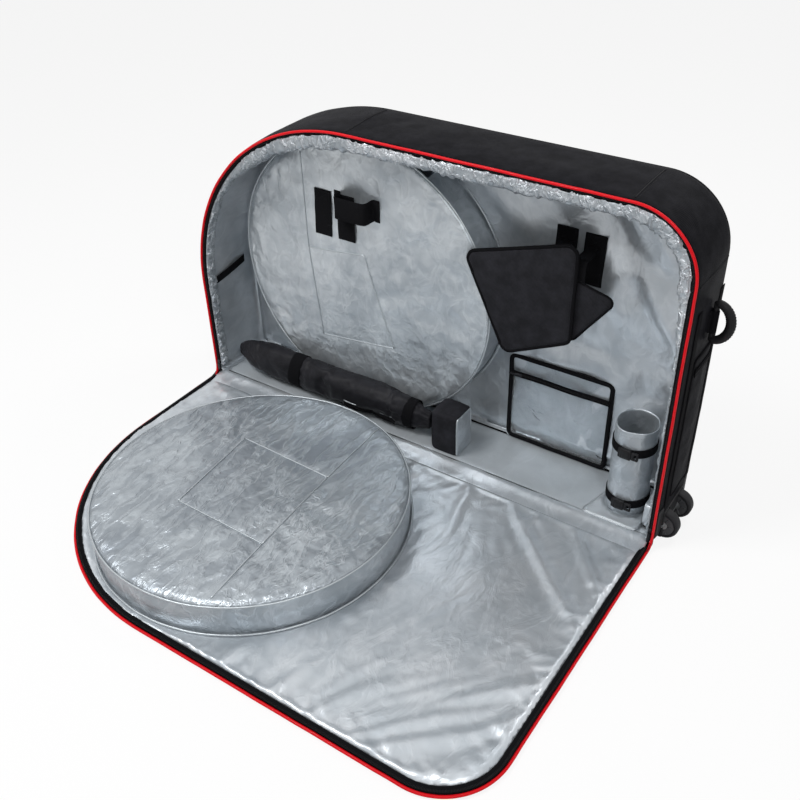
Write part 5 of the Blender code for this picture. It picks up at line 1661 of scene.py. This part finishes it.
def makeFrameBlock():
    low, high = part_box("frame_block")
    out = frameBlock["cordOut"]
    block = softBox("frameBlock", low, high, frameBlock["radius"], coverCloth, shadedSideLining, cuts=12,
                    crown=frameBlock["crown"], wrinkle=frameBlock["wrinkle"], seed=2)
    for face in block.data.polygons:
        face.material_index = 1 if face.normal.x > 0.55 else 0
    attach(block, "bag", "frame_block", slot="black_polyester")
    corners = roundCorners(rectangle((low.y, low.z), (high.y, high.z), frameBlock["cordInset"]), 0.006)
    ring = endView(evenLoop(corners, 0.005), high.x - out)
    ring[:, 1] = np.where(ring[:, 1] < (low.y + high.y) / 2, ring[:, 1] - out, ring[:, 1] + out)
    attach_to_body(tubeAlong("frameBlockPiping", wobbly(ring, 0.0005, 3), frameBlock["cordRadius"], silverCord, closed=True,
                      up=(1, 0, 0)), "bag")
    line = evenLine([(low.x + 0.006, low.y - out), (high.x - 0.008, low.y - out)], 0.005)
    sewLine("frameBlockStitches", [raised(line, high.z - frameBlock["seamDrop"])], (0, -1, 0), "bag", threadBlack)


makeFrameBlock()


# the padded cover that hangs on two straps, with its wing

pad = dict(corners=((0.215, 0.325), (0.375, 0.404), (0.375, 0.640), (0.105, 0.556)), cornerRadius=0.022,
           wing=((0.290, 0.430), (0.375, 0.404), (0.468, 0.530), (0.290, 0.575)), wingRadius=0.015,
           wingSeam=((0.384, 0.555), (0.452, 0.512)), spacing=0.008, swell=0.0045, wingSwell=0.0012, wrinkle=0.0014,
           bindingRadius=0.0042, bindingInset=0.0012, seamInset=0.0085, hangerInset=0.017, hangerWidth=0.030)


def boundPad(name, outline, swell, node, seed):
    # a quilted panel stood upright, with its bound edge and the stitches beside it
    low, high = (corner.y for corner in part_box(node))
    plate = puffPlate(name, outline, pad["spacing"], low + 0.001, high - 0.001, swell, 0.0, 0.006, coverCloth,
                      wrinkle=pad["wrinkle"], seed=seed)
    placeBy(plate, standUp)
    refineTriangles(plate)
    attach(plate, "hung_pad", node, slot="black_polyester")
    ring = evenLoop(outline, 0.006)
    inward = ring.mean(0) - ring
    inward /= np.linalg.norm(inward, axis=1)[:, None]
    edge = wobbly(frontView(ring + inward * pad["bindingInset"], (low + high) / 2), 0.0005, seed)
    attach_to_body(tubeAlong(name + "Binding", edge, min(pad["bindingRadius"], (high - low) * 0.42), tapeBand, closed=True,
                      up=(0, 1, 0), sides=10), "hung_pad")
    surface = surfaceOf(plate)
    line = surfaceHeights(surface, frontView(ring + inward * pad["seamInset"], low), (0, -1, 0), 0.0002)
    sewLine(name + "Stitches", [line], (0, -1, 0), "hung_pad", threadBlack, closed=True)
    return low, surface


def makeFramePad():
    boundPad("framePad", roundCorners(pad["corners"], pad["cornerRadius"]), pad["swell"], "frame_pad", 4)
    front, surface = boundPad("framePadWing", roundCorners(pad["wing"], pad["wingRadius"]), pad["wingSwell"],
                              "frame_pad_wing", 6)
    seam = frontView(evenLine(pad["wingSeam"], 0.006), front)
    sewLine("framePadWingSeam", [surfaceHeights(surface, seam, (0, -1, 0), 0.0002)], (0, -1, 0), "hung_pad",
            threadBlack)
    # two straps from behind the cover to the wall
    low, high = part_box("frame_pad_hanger")
    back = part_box("wall_anchor_left")[0].y
    side = [(-0.0052, 0.552), (-0.0052, 0.575), (-0.0045, 0.588), (-0.0005, 0.5965), (0.006, 0.5985), (0.020, 0.5975),
            (0.040, 0.5970), (0.058, 0.5980), (0.070, 0.5990), (back - 0.0008, 0.5995)]
    hanger = joinPieces("framePadHanger", *[
        bandAlong("hangerBand", evenLine(endView(side, x), 0.004), pad["hangerWidth"], 0.0018, (1, 0, 0), webBandAcross)
        for x in (low.x + pad["hangerInset"], high.x - pad["hangerInset"])])
    hanger.data.shade_smooth()
    attach(hanger, "hung_pad", "frame_pad_hanger", slot="black_webbing")


makeFramePad()
print("frame block and hanging cover made")


# sewn-on anchors and straps

anchors = dict(lift=0.0013, thickness=0.0020, wobble=0.0004, seamLift=0.0026, seamEdge=0.006, seamNear=0.005,
               seamFar=0.030)
seatStrap = dict(thickness=0.0020, wobble=0.0006, lift=0.0012, tab=0.018)
wallTie = dict(out=0.0045, width=0.020, thickness=0.0018)


def boxStitch(low, high, place):
    # a stitched rectangle with its diagonals; place turns plane points into the stitches' own points
    a, b, c, d = rectangle(low, high)
    return [place(evenLine(line, 0.004)) for line in ((a, b), (b, c), (c, d), (d, a), (a, c), (d, b))]


def makeAnchors():
    wall = surfaceOf(shell["lining"])
    for node, surface in (("pocket_anchor_left", wallPocket["surface"]), ("pocket_anchor_right", wallPocket["surface"]),
                          ("wall_anchor_left", wall), ("wall_anchor_right", wall)):
        low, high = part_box(node)
        x = (low.x + high.x) / 2
        path = evenLine([(x, low.z), (x, high.z)], 0.004)
        level = (low.y + high.y) / 2

        def lay(line, lift):
            return surfaceHeights(surface, frontView(line, level), (0, -1, 0), lift)

        sides = [lay(path + (dx, 0), anchors["lift"])[:, 1] for dx in (-0.020, -0.010, 0, 0.010, 0.020)]
        path = lay(path, anchors["lift"])
        path[:, 1] = np.minimum.reduce(sides)
        path[:, 1] = np.convolve(np.pad(path[:, 1], 2, mode="edge"), np.ones(5) / 5, mode="valid")
        name = "anchor" + node.title().replace("_", "").replace("Anchor", "")
        band = bandAlong(name, path, high.x - low.x, anchors["thickness"], (1, 0, 0), webBandAcross,
                         wobble=anchors["wobble"])
        attach(band, "bag", node, slot="black_webbing")
        lines = []
        edge, near, far = anchors["seamEdge"], anchors["seamNear"], anchors["seamFar"]
        for z0, z1 in ((low.z + near, low.z + far), (high.z - far, high.z - near)):
            lines += boxStitch((low.x + edge, z0), (high.x - edge, z1), lambda line: lay(line, anchors["seamLift"]))
        sewLine(name + "Stitches", lines, (0, -1, 0), "bag", threadBlack, pitch=0.005, thickness=0.0009)


def makeSeatpostStrap():
    low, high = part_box("seatpost_strap")
    z, tab = (low.z + high.z) / 2, seatStrap["tab"]
    path = raised([(low.x - tab, high.y + 0.001), (low.x, high.y - 0.002), (low.x + 0.0012, high.y - 0.010),
                   (low.x + 0.0014, low.y + 0.014), (low.x + 0.005, low.y + 0.004), (low.x + 0.016, low.y + 0.0014),
                   (high.x - 0.016, low.y + 0.0014), (high.x - 0.005, low.y + 0.004), (high.x - 0.0014, low.y + 0.014),
                   (high.x - 0.0012, high.y - 0.010), (high.x, high.y - 0.002), (high.x + tab, high.y + 0.001)], z)
    ends = [(path[0][0], 0, z), (path[-1][0], 0, z)]
    path[[0, -1], 1] = surfaceHeights(wallPocket["surface"], ends, (0, -1, 0), seatStrap["lift"])[:, 1]
    loop = bandAlong("seatpostStrap", evenLine(path, 0.004), high.z - low.z, seatStrap["thickness"], (0, 0, 1), webBand,
                     wobble=seatStrap["wobble"])
    attach(loop, "bag", "seatpost_strap", slot="black_webbing")


def makeLeftWallStrap():
    # a short webbing tie sewn to the left end wall
    x = bag["left"] + bag["layers"] + wallTie["out"]
    path = [(x - 0.003, -0.066, 0.291), (x, -0.058, 0.292), (x + 0.004, -0.020, 0.300), (x + 0.005, 0.015, 0.307),
            (x + 0.003, 0.046, 0.311), (x - 0.001, 0.052, 0.312)]
    tie = bandAlong("leftWallTie", evenLine(path, 0.004), wallTie["width"], wallTie["thickness"], (0, 0, 1), webBand)
    attach(tie, "bag", slot="black_webbing")


makeAnchors()
makeSeatpostStrap()
makeLeftWallStrap()
print("anchors and straps made")


# the clear pocket on the back wall

clear = dict(edge=0.011, bulge=0.0045, ripple=0.0028, crease=0.0022, spacing=0.006, corner=0.012, thickness=0.0006,
             bindingThickness=0.0028, zipWidth=0.016, zipOut=0.0046, sliderRadius=0.0014, pullLength=0.016)


def makeClearPocket():
    low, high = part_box("clear_pocket_window")
    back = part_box("clear_pocket_binding")[1].y
    zipLow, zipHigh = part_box("clear_pocket_zip")
    zipZ = (zipLow.z + zipHigh.z) / 2
    columns = round((high.x - low.x) / clear["spacing"])
    rows = round((high.z - low.z) / clear["spacing"])
    coords = np.array([(low.x + (high.x - low.x) * i / columns, high.y, low.z + (high.z - low.z) * j / rows)
                       for i in range(columns + 1) for j in range(rows + 1)])
    free = np.sin(np.pi * (coords[:, 0] - low.x) / (high.x - low.x)) ** 0.5
    free *= np.abs(np.sin(np.pi * np.clip((coords[:, 2] - low.z) / (zipZ - low.z), 0, 1))) ** 0.6 + 0.1
    pulled = np.column_stack([coords[:, 0], coords[:, 0] * 0, coords[:, 2] * 0.7 + coords[:, 0] * 0.4])
    coords[:, 1] -= free * (clear["bulge"] + clear["ripple"] * wave(pulled, 0.07, 3)
                            + clear["crease"] * ridge(pulled, 0.09, 5))
    window = meshPiece("clearPocketWindow", coords, gridFaces(columns + 1, rows + 1), vinyl)
    smoothUp(window)
    thicken(window, clear["thickness"])
    faceOutwards(window)
    attach(window, "bag", "clear_pocket_window", slot="clear_vinyl")

    corners = rectangle((low.x, low.z), (high.x, high.z), clear["edge"] / 2)
    ring = evenLoop(roundCorners(corners, clear["corner"]), 0.006)
    across = np.roll(ring, -1, axis=0) - np.roll(ring, 1, axis=0)
    across = np.column_stack([across[:, 1], across[:, 0] * 0, -across[:, 0]])
    path = frontView(ring, low.y - 0.0012)
    path[:, 1] += 0.0010 * wave(path, 0.06, 8)
    binding = bandAlong("clearPocketBinding", path, clear["edge"], clear["bindingThickness"], across, webBand,
                        closed=True)
    attach(binding, "bag", "clear_pocket_binding", slot="black_webbing")
    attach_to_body(tubeAlong("clearPocketGusset", frontView(ring, (back + low.y) / 2), (back - low.y) / 2 - 0.0002, tapeBand,
                      closed=True, up=(0, 1, 0)), "bag")
    sewLine("clearPocketStitches", [path - (0, 0.0016, 0)], (0, -1, 0), "bag", threadBlack, closed=True)

    line = np.array([(x, zipLow.y - clear["zipOut"] - 0.0010 * math.sin(x * 40), zipZ)
                     for x in np.linspace(zipLow.x, zipHigh.x, 40)])
    tape = bandAlong("clearPocketZip", line, clear["zipWidth"], 0.0014, (0, 0, 1), tapeBand)
    attach(tape, "bag", "clear_pocket_zip", slot="black_webbing")
    zipCoil("clearPocketCoil", line - (0, 0.0007, 0), (0, -1, 0), "bag", smallZip)
    low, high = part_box("clear_pocket_slider")
    out = zipLow.y - line[:, 1].min() + 0.0012
    slider = softBox("clearPocketSlider", (low.x, low.y - out, low.z), (high.x, high.y - out, high.z),
                     clear["sliderRadius"], blackNickel, cuts=4)
    pull = softBox("clearPocketPull", (low.x - clear["pullLength"], low.y - out - 0.0008, zipZ - 0.0022),
                   (low.x + 0.004, low.y - out + 0.0006, zipZ + 0.0022), 0.0007, blackNickel, cuts=4)
    slider = joinPieces("clearPocketSlider", slider, pull)
    slider.data.shade_smooth()
    attach(slider, "pocket_slider", "clear_pocket_slider", slot="steel")


makeClearPocket()
print("clear pocket made")


# the holster tube, its straps and buckles, and the mat under it

holster = dict(wall=0.0040, wrinkle=0.0034, pinched=0.0006, flare=0.0018, columns=88, strapWidth=0.022,
               mat=((0.470, -0.0880), (0.6035, -0.0880), (0.6035, 0.0640), (0.510, 0.0640)), matLift=0.0030,
               matThickness=0.0024, matCord=0.0018)


def lathe(name, profile, center, steps, *materials, axis=2, shape=None):
    # a closed profile of (radius, height) turned round one axis
    coords = []
    for i in range(steps):
        angle = 2 * math.pi * i / steps
        for radius, height in profile:
            point = [radius * math.cos(angle), radius * math.sin(angle)]
            point.insert(axis, height)
            coords.append(point)
    coords = np.array(coords)
    if shape is not None:
        coords = shape(coords)
    coords += center
    faces = gridFaces(steps, len(profile), loop=True, ring=True)
    return faceOutwards(meshPiece(name, coords, faces, *materials))


def mouldedPart(name, *boxes):
    # rounded boxes of (low, high, radius, cuts) as one piece of moulded nylon
    piece = joinPieces(name, *[softBox("part", low, high, radius, moulded, cuts=cuts)
                               for low, high, radius, cuts in boxes])
    piece.data.shade_smooth()
    return piece


def makeBuckle(level, body):
    title = level.title()
    a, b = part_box("holster_buckle_socket_" + level)
    socket = mouldedPart(
        "buckleSocket" + title, (a, b, 0.0026, 6),
        ((a.x + 0.006, a.y - 0.0012, a.z + 0.004), (b.x - 0.004, a.y + 0.002, b.z - 0.004), 0.0011, 4),
        ((a.x - 0.0045, a.y + 0.0012, a.z + 0.001), (a.x + 0.002, b.y - 0.001, b.z - 0.001), 0.0018, 4))
    attach(socket, "bag", "holster_buckle_socket_" + level, slot="black_plastic")
    a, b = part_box("holster_buckle_tongue_" + level)
    tongue = mouldedPart(
        "buckleTongue" + title, (a, (a.x + 0.006, b.y, b.z), 0.0016, 4), ((b.x - 0.0040, a.y, a.z), b, 0.0016, 4),
        ((a.x, a.y, b.z - 0.0042), b, 0.0014, 4), (a, (b.x, b.y, a.z + 0.0042), 0.0014, 4))
    attach(tongue, body, "holster_buckle_tongue_" + level, slot="black_plastic")


def makeHolster():
    low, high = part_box("fork_holster")
    center = ((low.x + high.x) / 2, (low.y + high.y) / 2, 0)
    outer = (high.x - low.x) / 2
    inner = outer - holster["wall"]
    heights = list(np.linspace(low.z + 0.003, high.z - 0.003, 34))
    profile = [(outer - 0.0012, low.z), *[(outer, z) for z in heights], (outer - 0.0008, high.z),
               (outer - 0.0020, high.z + 0.0006), (inner + 0.0004, high.z - 0.0004), (inner, high.z - 0.004),
               *[(inner, z) for z in heights[-4::-5]], (inner, low.z + 0.003), (inner + 0.0008, low.z)]
    straps = [sum(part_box("holster_strap_" + level), Vector()).z / 2 for level in ("lower", "upper")]

    def slack(coords):
        # soft vertical folds between the straps, which pinch it; the rim flares and is not quite round
        flat = coords[:, :2]
        size = np.linalg.norm(flat, axis=1)
        ray = flat / size[:, None]
        angle = np.arctan2(flat[:, 1], flat[:, 0])
        near = np.min([np.abs(coords[:, 2] - z) for z in straps], axis=0)
        free = smoothStep(0.010, 0.034, near)
        tall = np.column_stack([np.cos(angle) * 0.05, np.sin(angle) * 0.05, coords[:, 2] * 0.35])
        out = (free * holster["wrinkle"] * wave(tall, 0.045, 4)
               + (1 - free) * holster["pinched"] * wave(tall, 0.012, 6))
        out += holster["flare"] * smoothStep(high.z - 0.03, high.z, coords[:, 2]) * (1 + np.cos(2 * angle + 0.6)) / 2
        out = np.where(size > outer - 0.0025, out, out * 0.7)
        moved = coords.copy()
        moved[:, :2] = ray * (size + np.clip(out, -0.0022, 0.004))[:, None]
        return moved

    tube = lathe("forkHolster", profile, center, holster["columns"], shadedSideLining, shape=slack)
    smoothUp(tube)
    attach(tube, "bag", "fork_holster", slot="silver_lining")
    angles = np.linspace(0, 2 * math.pi, 91)[:-1]
    surface = surfaceOf(tube)
    hits = []
    for point in raised(center[:2] + circle(outer - 0.0018, angles), high.z - 0.012):
        ray = Vector((point[0] - center[0], point[1] - center[1], 0)).normalized()
        hit = surface.ray_cast(Vector(point) + ray * 0.1, -ray)[0]
        hits.append(tuple(hit + ray * 0.0002))
    sewLine("holsterRimStitches", [hits], (0, 0, 1), "bag", closed=True)
    for level, body, z in (("lower", "tongue_lower", straps[0]), ("upper", "tongue_upper", straps[1])):
        path = raised(center[:2] + circle(outer + 0.0013, np.linspace(0, 2 * math.pi, 73)[:-1]), z)
        band = bandAlong("holsterStrap" + level.title(), path, holster["strapWidth"], 0.0018, (0, 0, 1), webBandAcross,
                         closed=True)
        attach(band, "bag", "holster_strap_" + level, slot="black_webbing")
        makeBuckle(level, body)

    # a stiff mat with a silver piped edge, cut out round the tube
    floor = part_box("base_board")[1].z
    loop = evenLoop(roundCorners(holster["mat"], 0.010), 0.008)
    plane, faces = fillOutline(loop, 0.010, holes=(center[:2] + circle(outer + 0.0022, -angles),))
    lift = floor + holster["matLift"] + 0.0007 * wave(raised(plane), 0.05, 2)
    mat = meshPiece("holsterMat", raised(plane, lift), faces, boardCloth)
    turnSheet(mat, 2)
    thicken(mat, holster["matThickness"])
    attach(mat, "bag", slot="grey_board_cloth")
    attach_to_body(tubeAlong("holsterMatPiping", wobbly(raised(loop, floor + 0.0022), 0.0004, 4), holster["matCord"],
                      silverCord, closed=True), "bag")


makeHolster()
print("holster made")


# the base board and the wheel-well cover

base = dict(corner=0.012, spacing=0.014, crown=0.0004, edge=0.0014, wrinkle=0.0007, backBinding=0.0030,
            frontBinding=0.0017, seamInset=0.0085)
wellCover = dict(radius=0.010, crown=0.0012, wrinkle=0.0010, thickness=0.0022, cordInset=0.004, cordRadius=0.0019)


def makeBase():
    low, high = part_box("base_board")
    outline = roundCorners(rectangle((low.x, low.y), (high.x, high.y)), base["corner"])
    board = puffPlate("baseBoard", outline, base["spacing"], low.z, high.z, 0, base["crown"], base["edge"], boardCloth,
                      wrinkle=base["wrinkle"], seed=3)
    refineTriangles(board)
    coords = coordsOf(board)
    coords[:, 2] = np.maximum(coords[:, 2], low.z)
    setCoords(board, coords)
    attach(board, "bag", "base_board", slot="grey_board_cloth")
    for name, y, cord, radius in (("boardBackBinding", high.y - 0.001, tapeBand, base["backBinding"]),
                                  ("boardFrontBinding", low.y + 0.001, blackCord, base["frontBinding"])):
        path = np.array([(x, y, high.z - 0.0006) for x in np.linspace(low.x + 0.008, high.x - 0.008, 130)])
        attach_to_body(tubeAlong(name, wobbly(path, 0.0006, 5), radius, cord), "bag")
    path = np.array([(x, high.y - base["seamInset"], high.z + 0.0004)
                     for x in np.linspace(low.x + 0.01, high.x - 0.01, 90)])
    sewLine("boardStitches", [path], (0, 0, 1), "bag")


def makeWellCover():
    low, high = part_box("wheel_well_cover")
    cover = softBox("wheelWellCover", (low.x, low.y, low.z), (high.x + 0.03, high.y, high.z), wellCover["radius"],
                    silverLining, cuts=16, crown=wellCover["crown"], wrinkle=wellCover["wrinkle"], seed=7)

    def openSides(body):
        # its right end and its underside lie against the wall and the floor
        middles = [(face, face.calc_center_median()) for face in body.faces]
        hidden = [face for face, middle in middles if middle.x > high.x + 0.002 or middle.z < low.z + 0.004]
        bmesh.ops.delete(body, geom=hidden, context="FACES")

    editMesh(cover, openSides)
    thicken(cover, wellCover["thickness"])
    attach(cover, "bag", "wheel_well_cover", slot="silver_lining")
    inset = wellCover["cordInset"]
    front, back, top = low.y + inset, high.y - inset, high.z - inset
    path = roundCorners([(front, low.z - 0.05), (front, top), (back, top), (back, low.z - 0.05)], 0.008)
    path = evenLine(np.vstack([(front, low.z + 0.006), path[6:18], (back, low.z + 0.006)]), 0.006)
    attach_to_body(tubeAlong("wellCoverPiping", endView(path, low.x + 0.003), wellCover["cordRadius"], silverCord,
                      up=(1, 0, 0)), "bag")


makeBase()
makeWellCover()
print("base made")


# wheels, the grab handle and the hardware

wheel = dict(spokes=6, ribs=(0.0016, 0.0014, 0.0012, 0.0012, 0.0014))
handle = dict(halfHeight=0.042, reach=0.034, rod=0.0055, grip=0.0100, ridges=0.0005, tabThickness=0.0022)


def makeWheels():
    for place in ("front", "rear"):
        body = "wheel_" + place
        low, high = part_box("wheel_tyre_" + place)
        center = np.array((low + high) / 2)
        half = (high.y - low.y) / 2
        outer = (high.x - low.x) / 2
        hubLow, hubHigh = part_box("wheel_hub_" + place)
        inner = (hubHigh.x - hubLow.x) / 2 + 0.0001
        rows = [(inner, -half + 0.001), (inner + 0.002, -half), (outer - 0.0042, -half),
                (outer - 0.0014, -half + 0.0014), (outer - 0.0002, -half + 0.0042), (outer, -half * 0.35)]
        rows += [(radius, -height) for radius, height in reversed(rows)]
        tyre = lathe("wheelTyre" + place.title(), rows, center, 64, wheelRubber, axis=1)
        attach(tyre, body, "wheel_tyre_" + place, slot="rubber_black")
        nodes["wheel_hub_" + place].data.materials[0] = mouldedGrey
        bearingLow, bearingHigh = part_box("wheel_bearing_" + place)
        bearing = (bearingHigh.x - bearingLow.x) / 2
        ribs = []
        face = min(hubLow.y - center[1], -0.004)
        for k in range(wheel["spokes"]):
            angle = 2 * math.pi * k / wheel["spokes"]
            ray = np.array((math.cos(angle), 0, math.sin(angle)))
            path = [center + ray * r + (0, face, 0) for r in np.linspace(bearing + 0.0012, inner - 0.0015, 5)]
            ribs.append(tubeAlong("rib", path, wheel["ribs"], mouldedGrey, up=(0, 1, 0), sides=6))
        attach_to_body(joinPieces("wheelRibs" + place.title(), *ribs), body)
        nodes["wheel_bearing_" + place].data.materials[0] = steelFinish


def makeGrabHandle():
    low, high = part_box("end_handle")
    halfHeight, rod, grip = handle["halfHeight"], handle["rod"], handle["grip"]
    pivot = Vector((bag["right"] + bag["gap"] + 0.0027 + 0.0030 + rod, (low.y + high.y) / 2, (low.z + high.z) / 2))
    path, radii = [], []
    for step in range(49):
        angle = -math.pi / 2 + math.pi * step / 48
        path.append((pivot.x + handle["reach"] * math.cos(angle), pivot.y, pivot.z + halfHeight * math.sin(angle)))
        ribbing = handle["ridges"] * math.cos(step * math.pi) if 10 < step < 38 else 0
        radii.append(rod + (grip - rod) * math.cos(angle) ** 0.3 + ribbing)
    for step in range(1, 16):
        path.append((pivot.x, pivot.y, pivot.z + (halfHeight - grip) * (1 - 2 * step / 16)))
        radii.append(rod - 0.0003)
    loop = tubeAlong("endHandle", path, radii, rubber, closed=True, up=(0, 1, 0), sides=16)
    attach(loop, "grab_handle", "end_handle", slot="rubber_black")
    low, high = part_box("handle_tab")
    bore = rod + 0.0005 + 0.0012
    face = bag["right"] + 0.0016
    path = [(face, pivot.y - 0.0200), (face, pivot.y - 0.0110), (face + 0.0012, pivot.y - 0.0088)]
    path += [(pivot.x + bore * math.cos(a), pivot.y + bore * math.sin(a)) for a in np.linspace(-2.2, 2.2, 19)]
    path += [(face + 0.0012, pivot.y + 0.0088), (face, pivot.y + 0.0110), (face, pivot.y + 0.0200)]
    path = raised(evenLine(path, 0.0022), pivot.z)
    tab = bandAlong("handleTab", path, high.z - low.z, handle["tabThickness"], (0, 0, 1), webBand)
    attach(tab, "bag", "handle_tab", slot="black_webbing")
    lines = []
    for sign in (-1, 1):
        a, b = pivot.y + sign * 0.0125, pivot.y + sign * 0.0185
        lines += boxStitch((min(a, b), low.z + 0.004), (max(a, b), high.z - 0.004),
                           lambda line: endView(line, face + 0.0013))
    sewLine("handleTabStitches", lines, (1, 0, 0), "bag", threadBlack, pitch=0.005, thickness=0.0009)


def finishHardware():
    for node, material in (("wheel_axle", steelFinish), ("wheel_housing", moulded), ("skid_plate", skidFinish),
                           ("zip_slider_left", blackNickel), ("zip_slider_right", blackNickel),
                           ("zip_pull_left", blackNickel), ("zip_pull_right", blackNickel)):
        nodes[node].data.materials[0] = material


makeWheels()
makeGrabHandle()
finishHardware()
print("wheels, handle and hardware made")


# the outside: edge piping, seams, the end pocket and the corner guards

outside = dict(edgePiping=0.00288, seamX=(-0.150, 0.505), seamZ=0.655, seamRadius=0.0013, seamStitches=0.0052,
               panel=((-0.0450, 0.115), (0.0560, 0.470)), panelCorner=0.012, panelWrinkle=0.0012, panelBinding=0.0022,
               zipDrop=0.030, zipWidth=0.018, webbingWidth=0.022, webbing=(0.100, 0.590))
guards = dict(height=0.105, reach=0.080, thickness=0.0016,
              lifts=(0.0004, 0.0022, 0.0028, 0.0030, 0.0028, 0.0022, 0.0004))


def makeBackSeams(surface):
    # black piping where the gusset turns into the back, and welted seams across the gusset
    front, back, height = bag["front"], bag["back"], shell["backRadius"]
    points, normals = outlineSamples(0.010)
    inset = height * (1 - math.cos(math.radians(45)))
    ring = frontView(points + normals * (inset - 0.0012), back - height + height * math.sin(math.radians(45)) + 0.0012)
    cord = tubeAlong("backEdgePiping", ring, outside["edgePiping"], blackCord, closed=True, up=(0, 1, 0))
    attach(cord, "bag", slot="black_polyester")
    for number, (x, z, ray) in enumerate(((outside["seamX"][0], 0.5, (0, 0, 1)), (outside["seamX"][1], 0.5, (0, 0, 1)),
                                          (0.5, outside["seamZ"], (1, 0, 0)))):
        name = "gussetSeam%d" % number
        ys = np.linspace(front + 0.006, back - height - 0.002, 36)
        path = surfaceHeights(surface, [(x, y, z) for y in ys], ray)
        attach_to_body(tubeAlong(name, path + np.array(ray) * 0.0001, outside["seamRadius"], blackCord), "bag")
        side = np.array((ray[2], 0, ray[0])) * outside["seamStitches"]
        for sign in (1, -1):
            line = surfaceHeights(surface, path[1:-1] + sign * side - np.array(ray) * 0.1, ray)
            sewLine(name + "Stitches%d" % (sign + 1), [line], ray, "bag", threadBlack)


def makeEndPocket(surface):
    # a flat zipped pocket on the wheeled end, left bare, and the webbing that carries the handle beside it
    (y0, z0), (y1, z1) = outside["panel"]
    outline = roundCorners(rectangle(*outside["panel"]), outside["panelCorner"])
    plate = puffPlate("endPocket", outline, 0.008, 0.0, 0.0024, 0.0, 0.0030, 0.004, outerCloth,
                      wrinkle=outside["panelWrinkle"], seed=8)
    refineTriangles(plate)
    coords = coordsOf(plate)
    ys, zs = np.linspace(y0 - 0.004, y1 + 0.004, 14), np.linspace(z0 - 0.004, z1 + 0.004, 40)
    grid = np.array([surfaceHeights(surface, [(0.5, y, z) for z in zs], (1, 0, 0))[:, 0] for y in ys])

    def onEnd(points, lift):
        # plane points (y, z) laid on the gusset's end
        i = np.clip((points[:, 0] - ys[0]) / (ys[1] - ys[0]), 0, len(ys) - 1.001)
        j = np.clip((points[:, 1] - zs[0]) / (zs[1] - zs[0]), 0, len(zs) - 1.001)
        a, b = i.astype(int), j.astype(int)
        u, v = i - a, j - b
        x = ((1 - u) * ((1 - v) * grid[a, b] + v * grid[a, b + 1])
             + u * ((1 - v) * grid[a + 1, b] + v * grid[a + 1, b + 1]))
        return np.column_stack([x + lift, points])

    setCoords(plate, onEnd(coords[:, :2], coords[:, 2] - 0.0002))
    faceOutwards(plate)
    attach(plate, "bag", slot="black_polyester")
    ring = onEnd(evenLoop(outline, 0.006), 0.0012)
    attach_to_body(tubeAlong("endPocketBinding", ring, outside["panelBinding"], tapeBand, closed=True, up=(1, 0, 0)), "bag")
    path = onEnd(np.array([(y, z1 - outside["zipDrop"]) for y in np.linspace(y0 + 0.004, y1 - 0.004, 24)]), 0.0046)
    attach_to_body(bandAlong("endPocketZip", path, outside["zipWidth"], 0.0014, (0, 0, 1), tapeBand), "bag")
    zipCoil("endPocketCoil", path + (0.0007, 0, 0), (1, 0, 0), "bag", smallZip)
    for name, y in (("endWebbingFront", y0 - 0.014), ("endWebbingRear", y1 + 0.009)):
        line = [(0.5, y, z) for z in np.linspace(*outside["webbing"], 60)]
        band = bandAlong(name, surfaceHeights(surface, line, (1, 0, 0), 0.0009), outside["webbingWidth"], 0.0018,
                         (0, 1, 0), webBand)
        attach(band, "bag", slot="black_webbing")


def makeCornerGuards():
    # moulded guards at the two lower corners of the wheeled end, either side of the housing
    low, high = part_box("wheel_housing")
    right, bottom, radius = bag["right"], bag["bottom"], bag["bottomRadius"]
    arc = [(right, z) for z in np.linspace(guards["height"], bottom + radius, 8)[:-1]]
    arc += [(right - radius + radius * math.cos(a), bottom + radius - radius * math.sin(a))
            for a in np.linspace(0, math.pi / 2, 9)]
    arc += [(x, bottom) for x in np.linspace(right - radius, right - guards["reach"], 6)[1:]]
    arc = np.array(arc)
    out = np.vstack([arc[1:] - arc[:-1], arc[-1:] - arc[-2:-1]])
    out = np.column_stack([-out[:, 1], out[:, 0]])
    out /= np.linalg.norm(out, axis=1)[:, None]
    lifts = guards["lifts"]
    for name, y0, y1 in (("cornerGuardFront", bag["front"] + 0.0015, low.y - 0.0015),
                         ("cornerGuardRear", high.y + 0.0015, bag["back"] - 0.012)):
        coords = [(p[0] + n[0] * (h + 0.0004), y, max(p[1] + n[1] * (h + 0.0004), 0.0004)) for p, n in zip(arc, out)
                  for y, h in zip(np.linspace(y0, y1, len(lifts)), lifts)]
        guard = meshPiece(name, coords, gridFaces(len(arc), len(lifts)), moulded)
        smoothUp(guard)
        turnSheet(guard, 0)
        thicken(guard, guards["thickness"])
        attach(guard, "bag", slot="black_plastic")


outerSurface = surfaceOf(shell["outer"])
makeBackSeams(outerSurface)
makeEndPocket(outerSurface)
makeCornerGuards()
print("outside made")
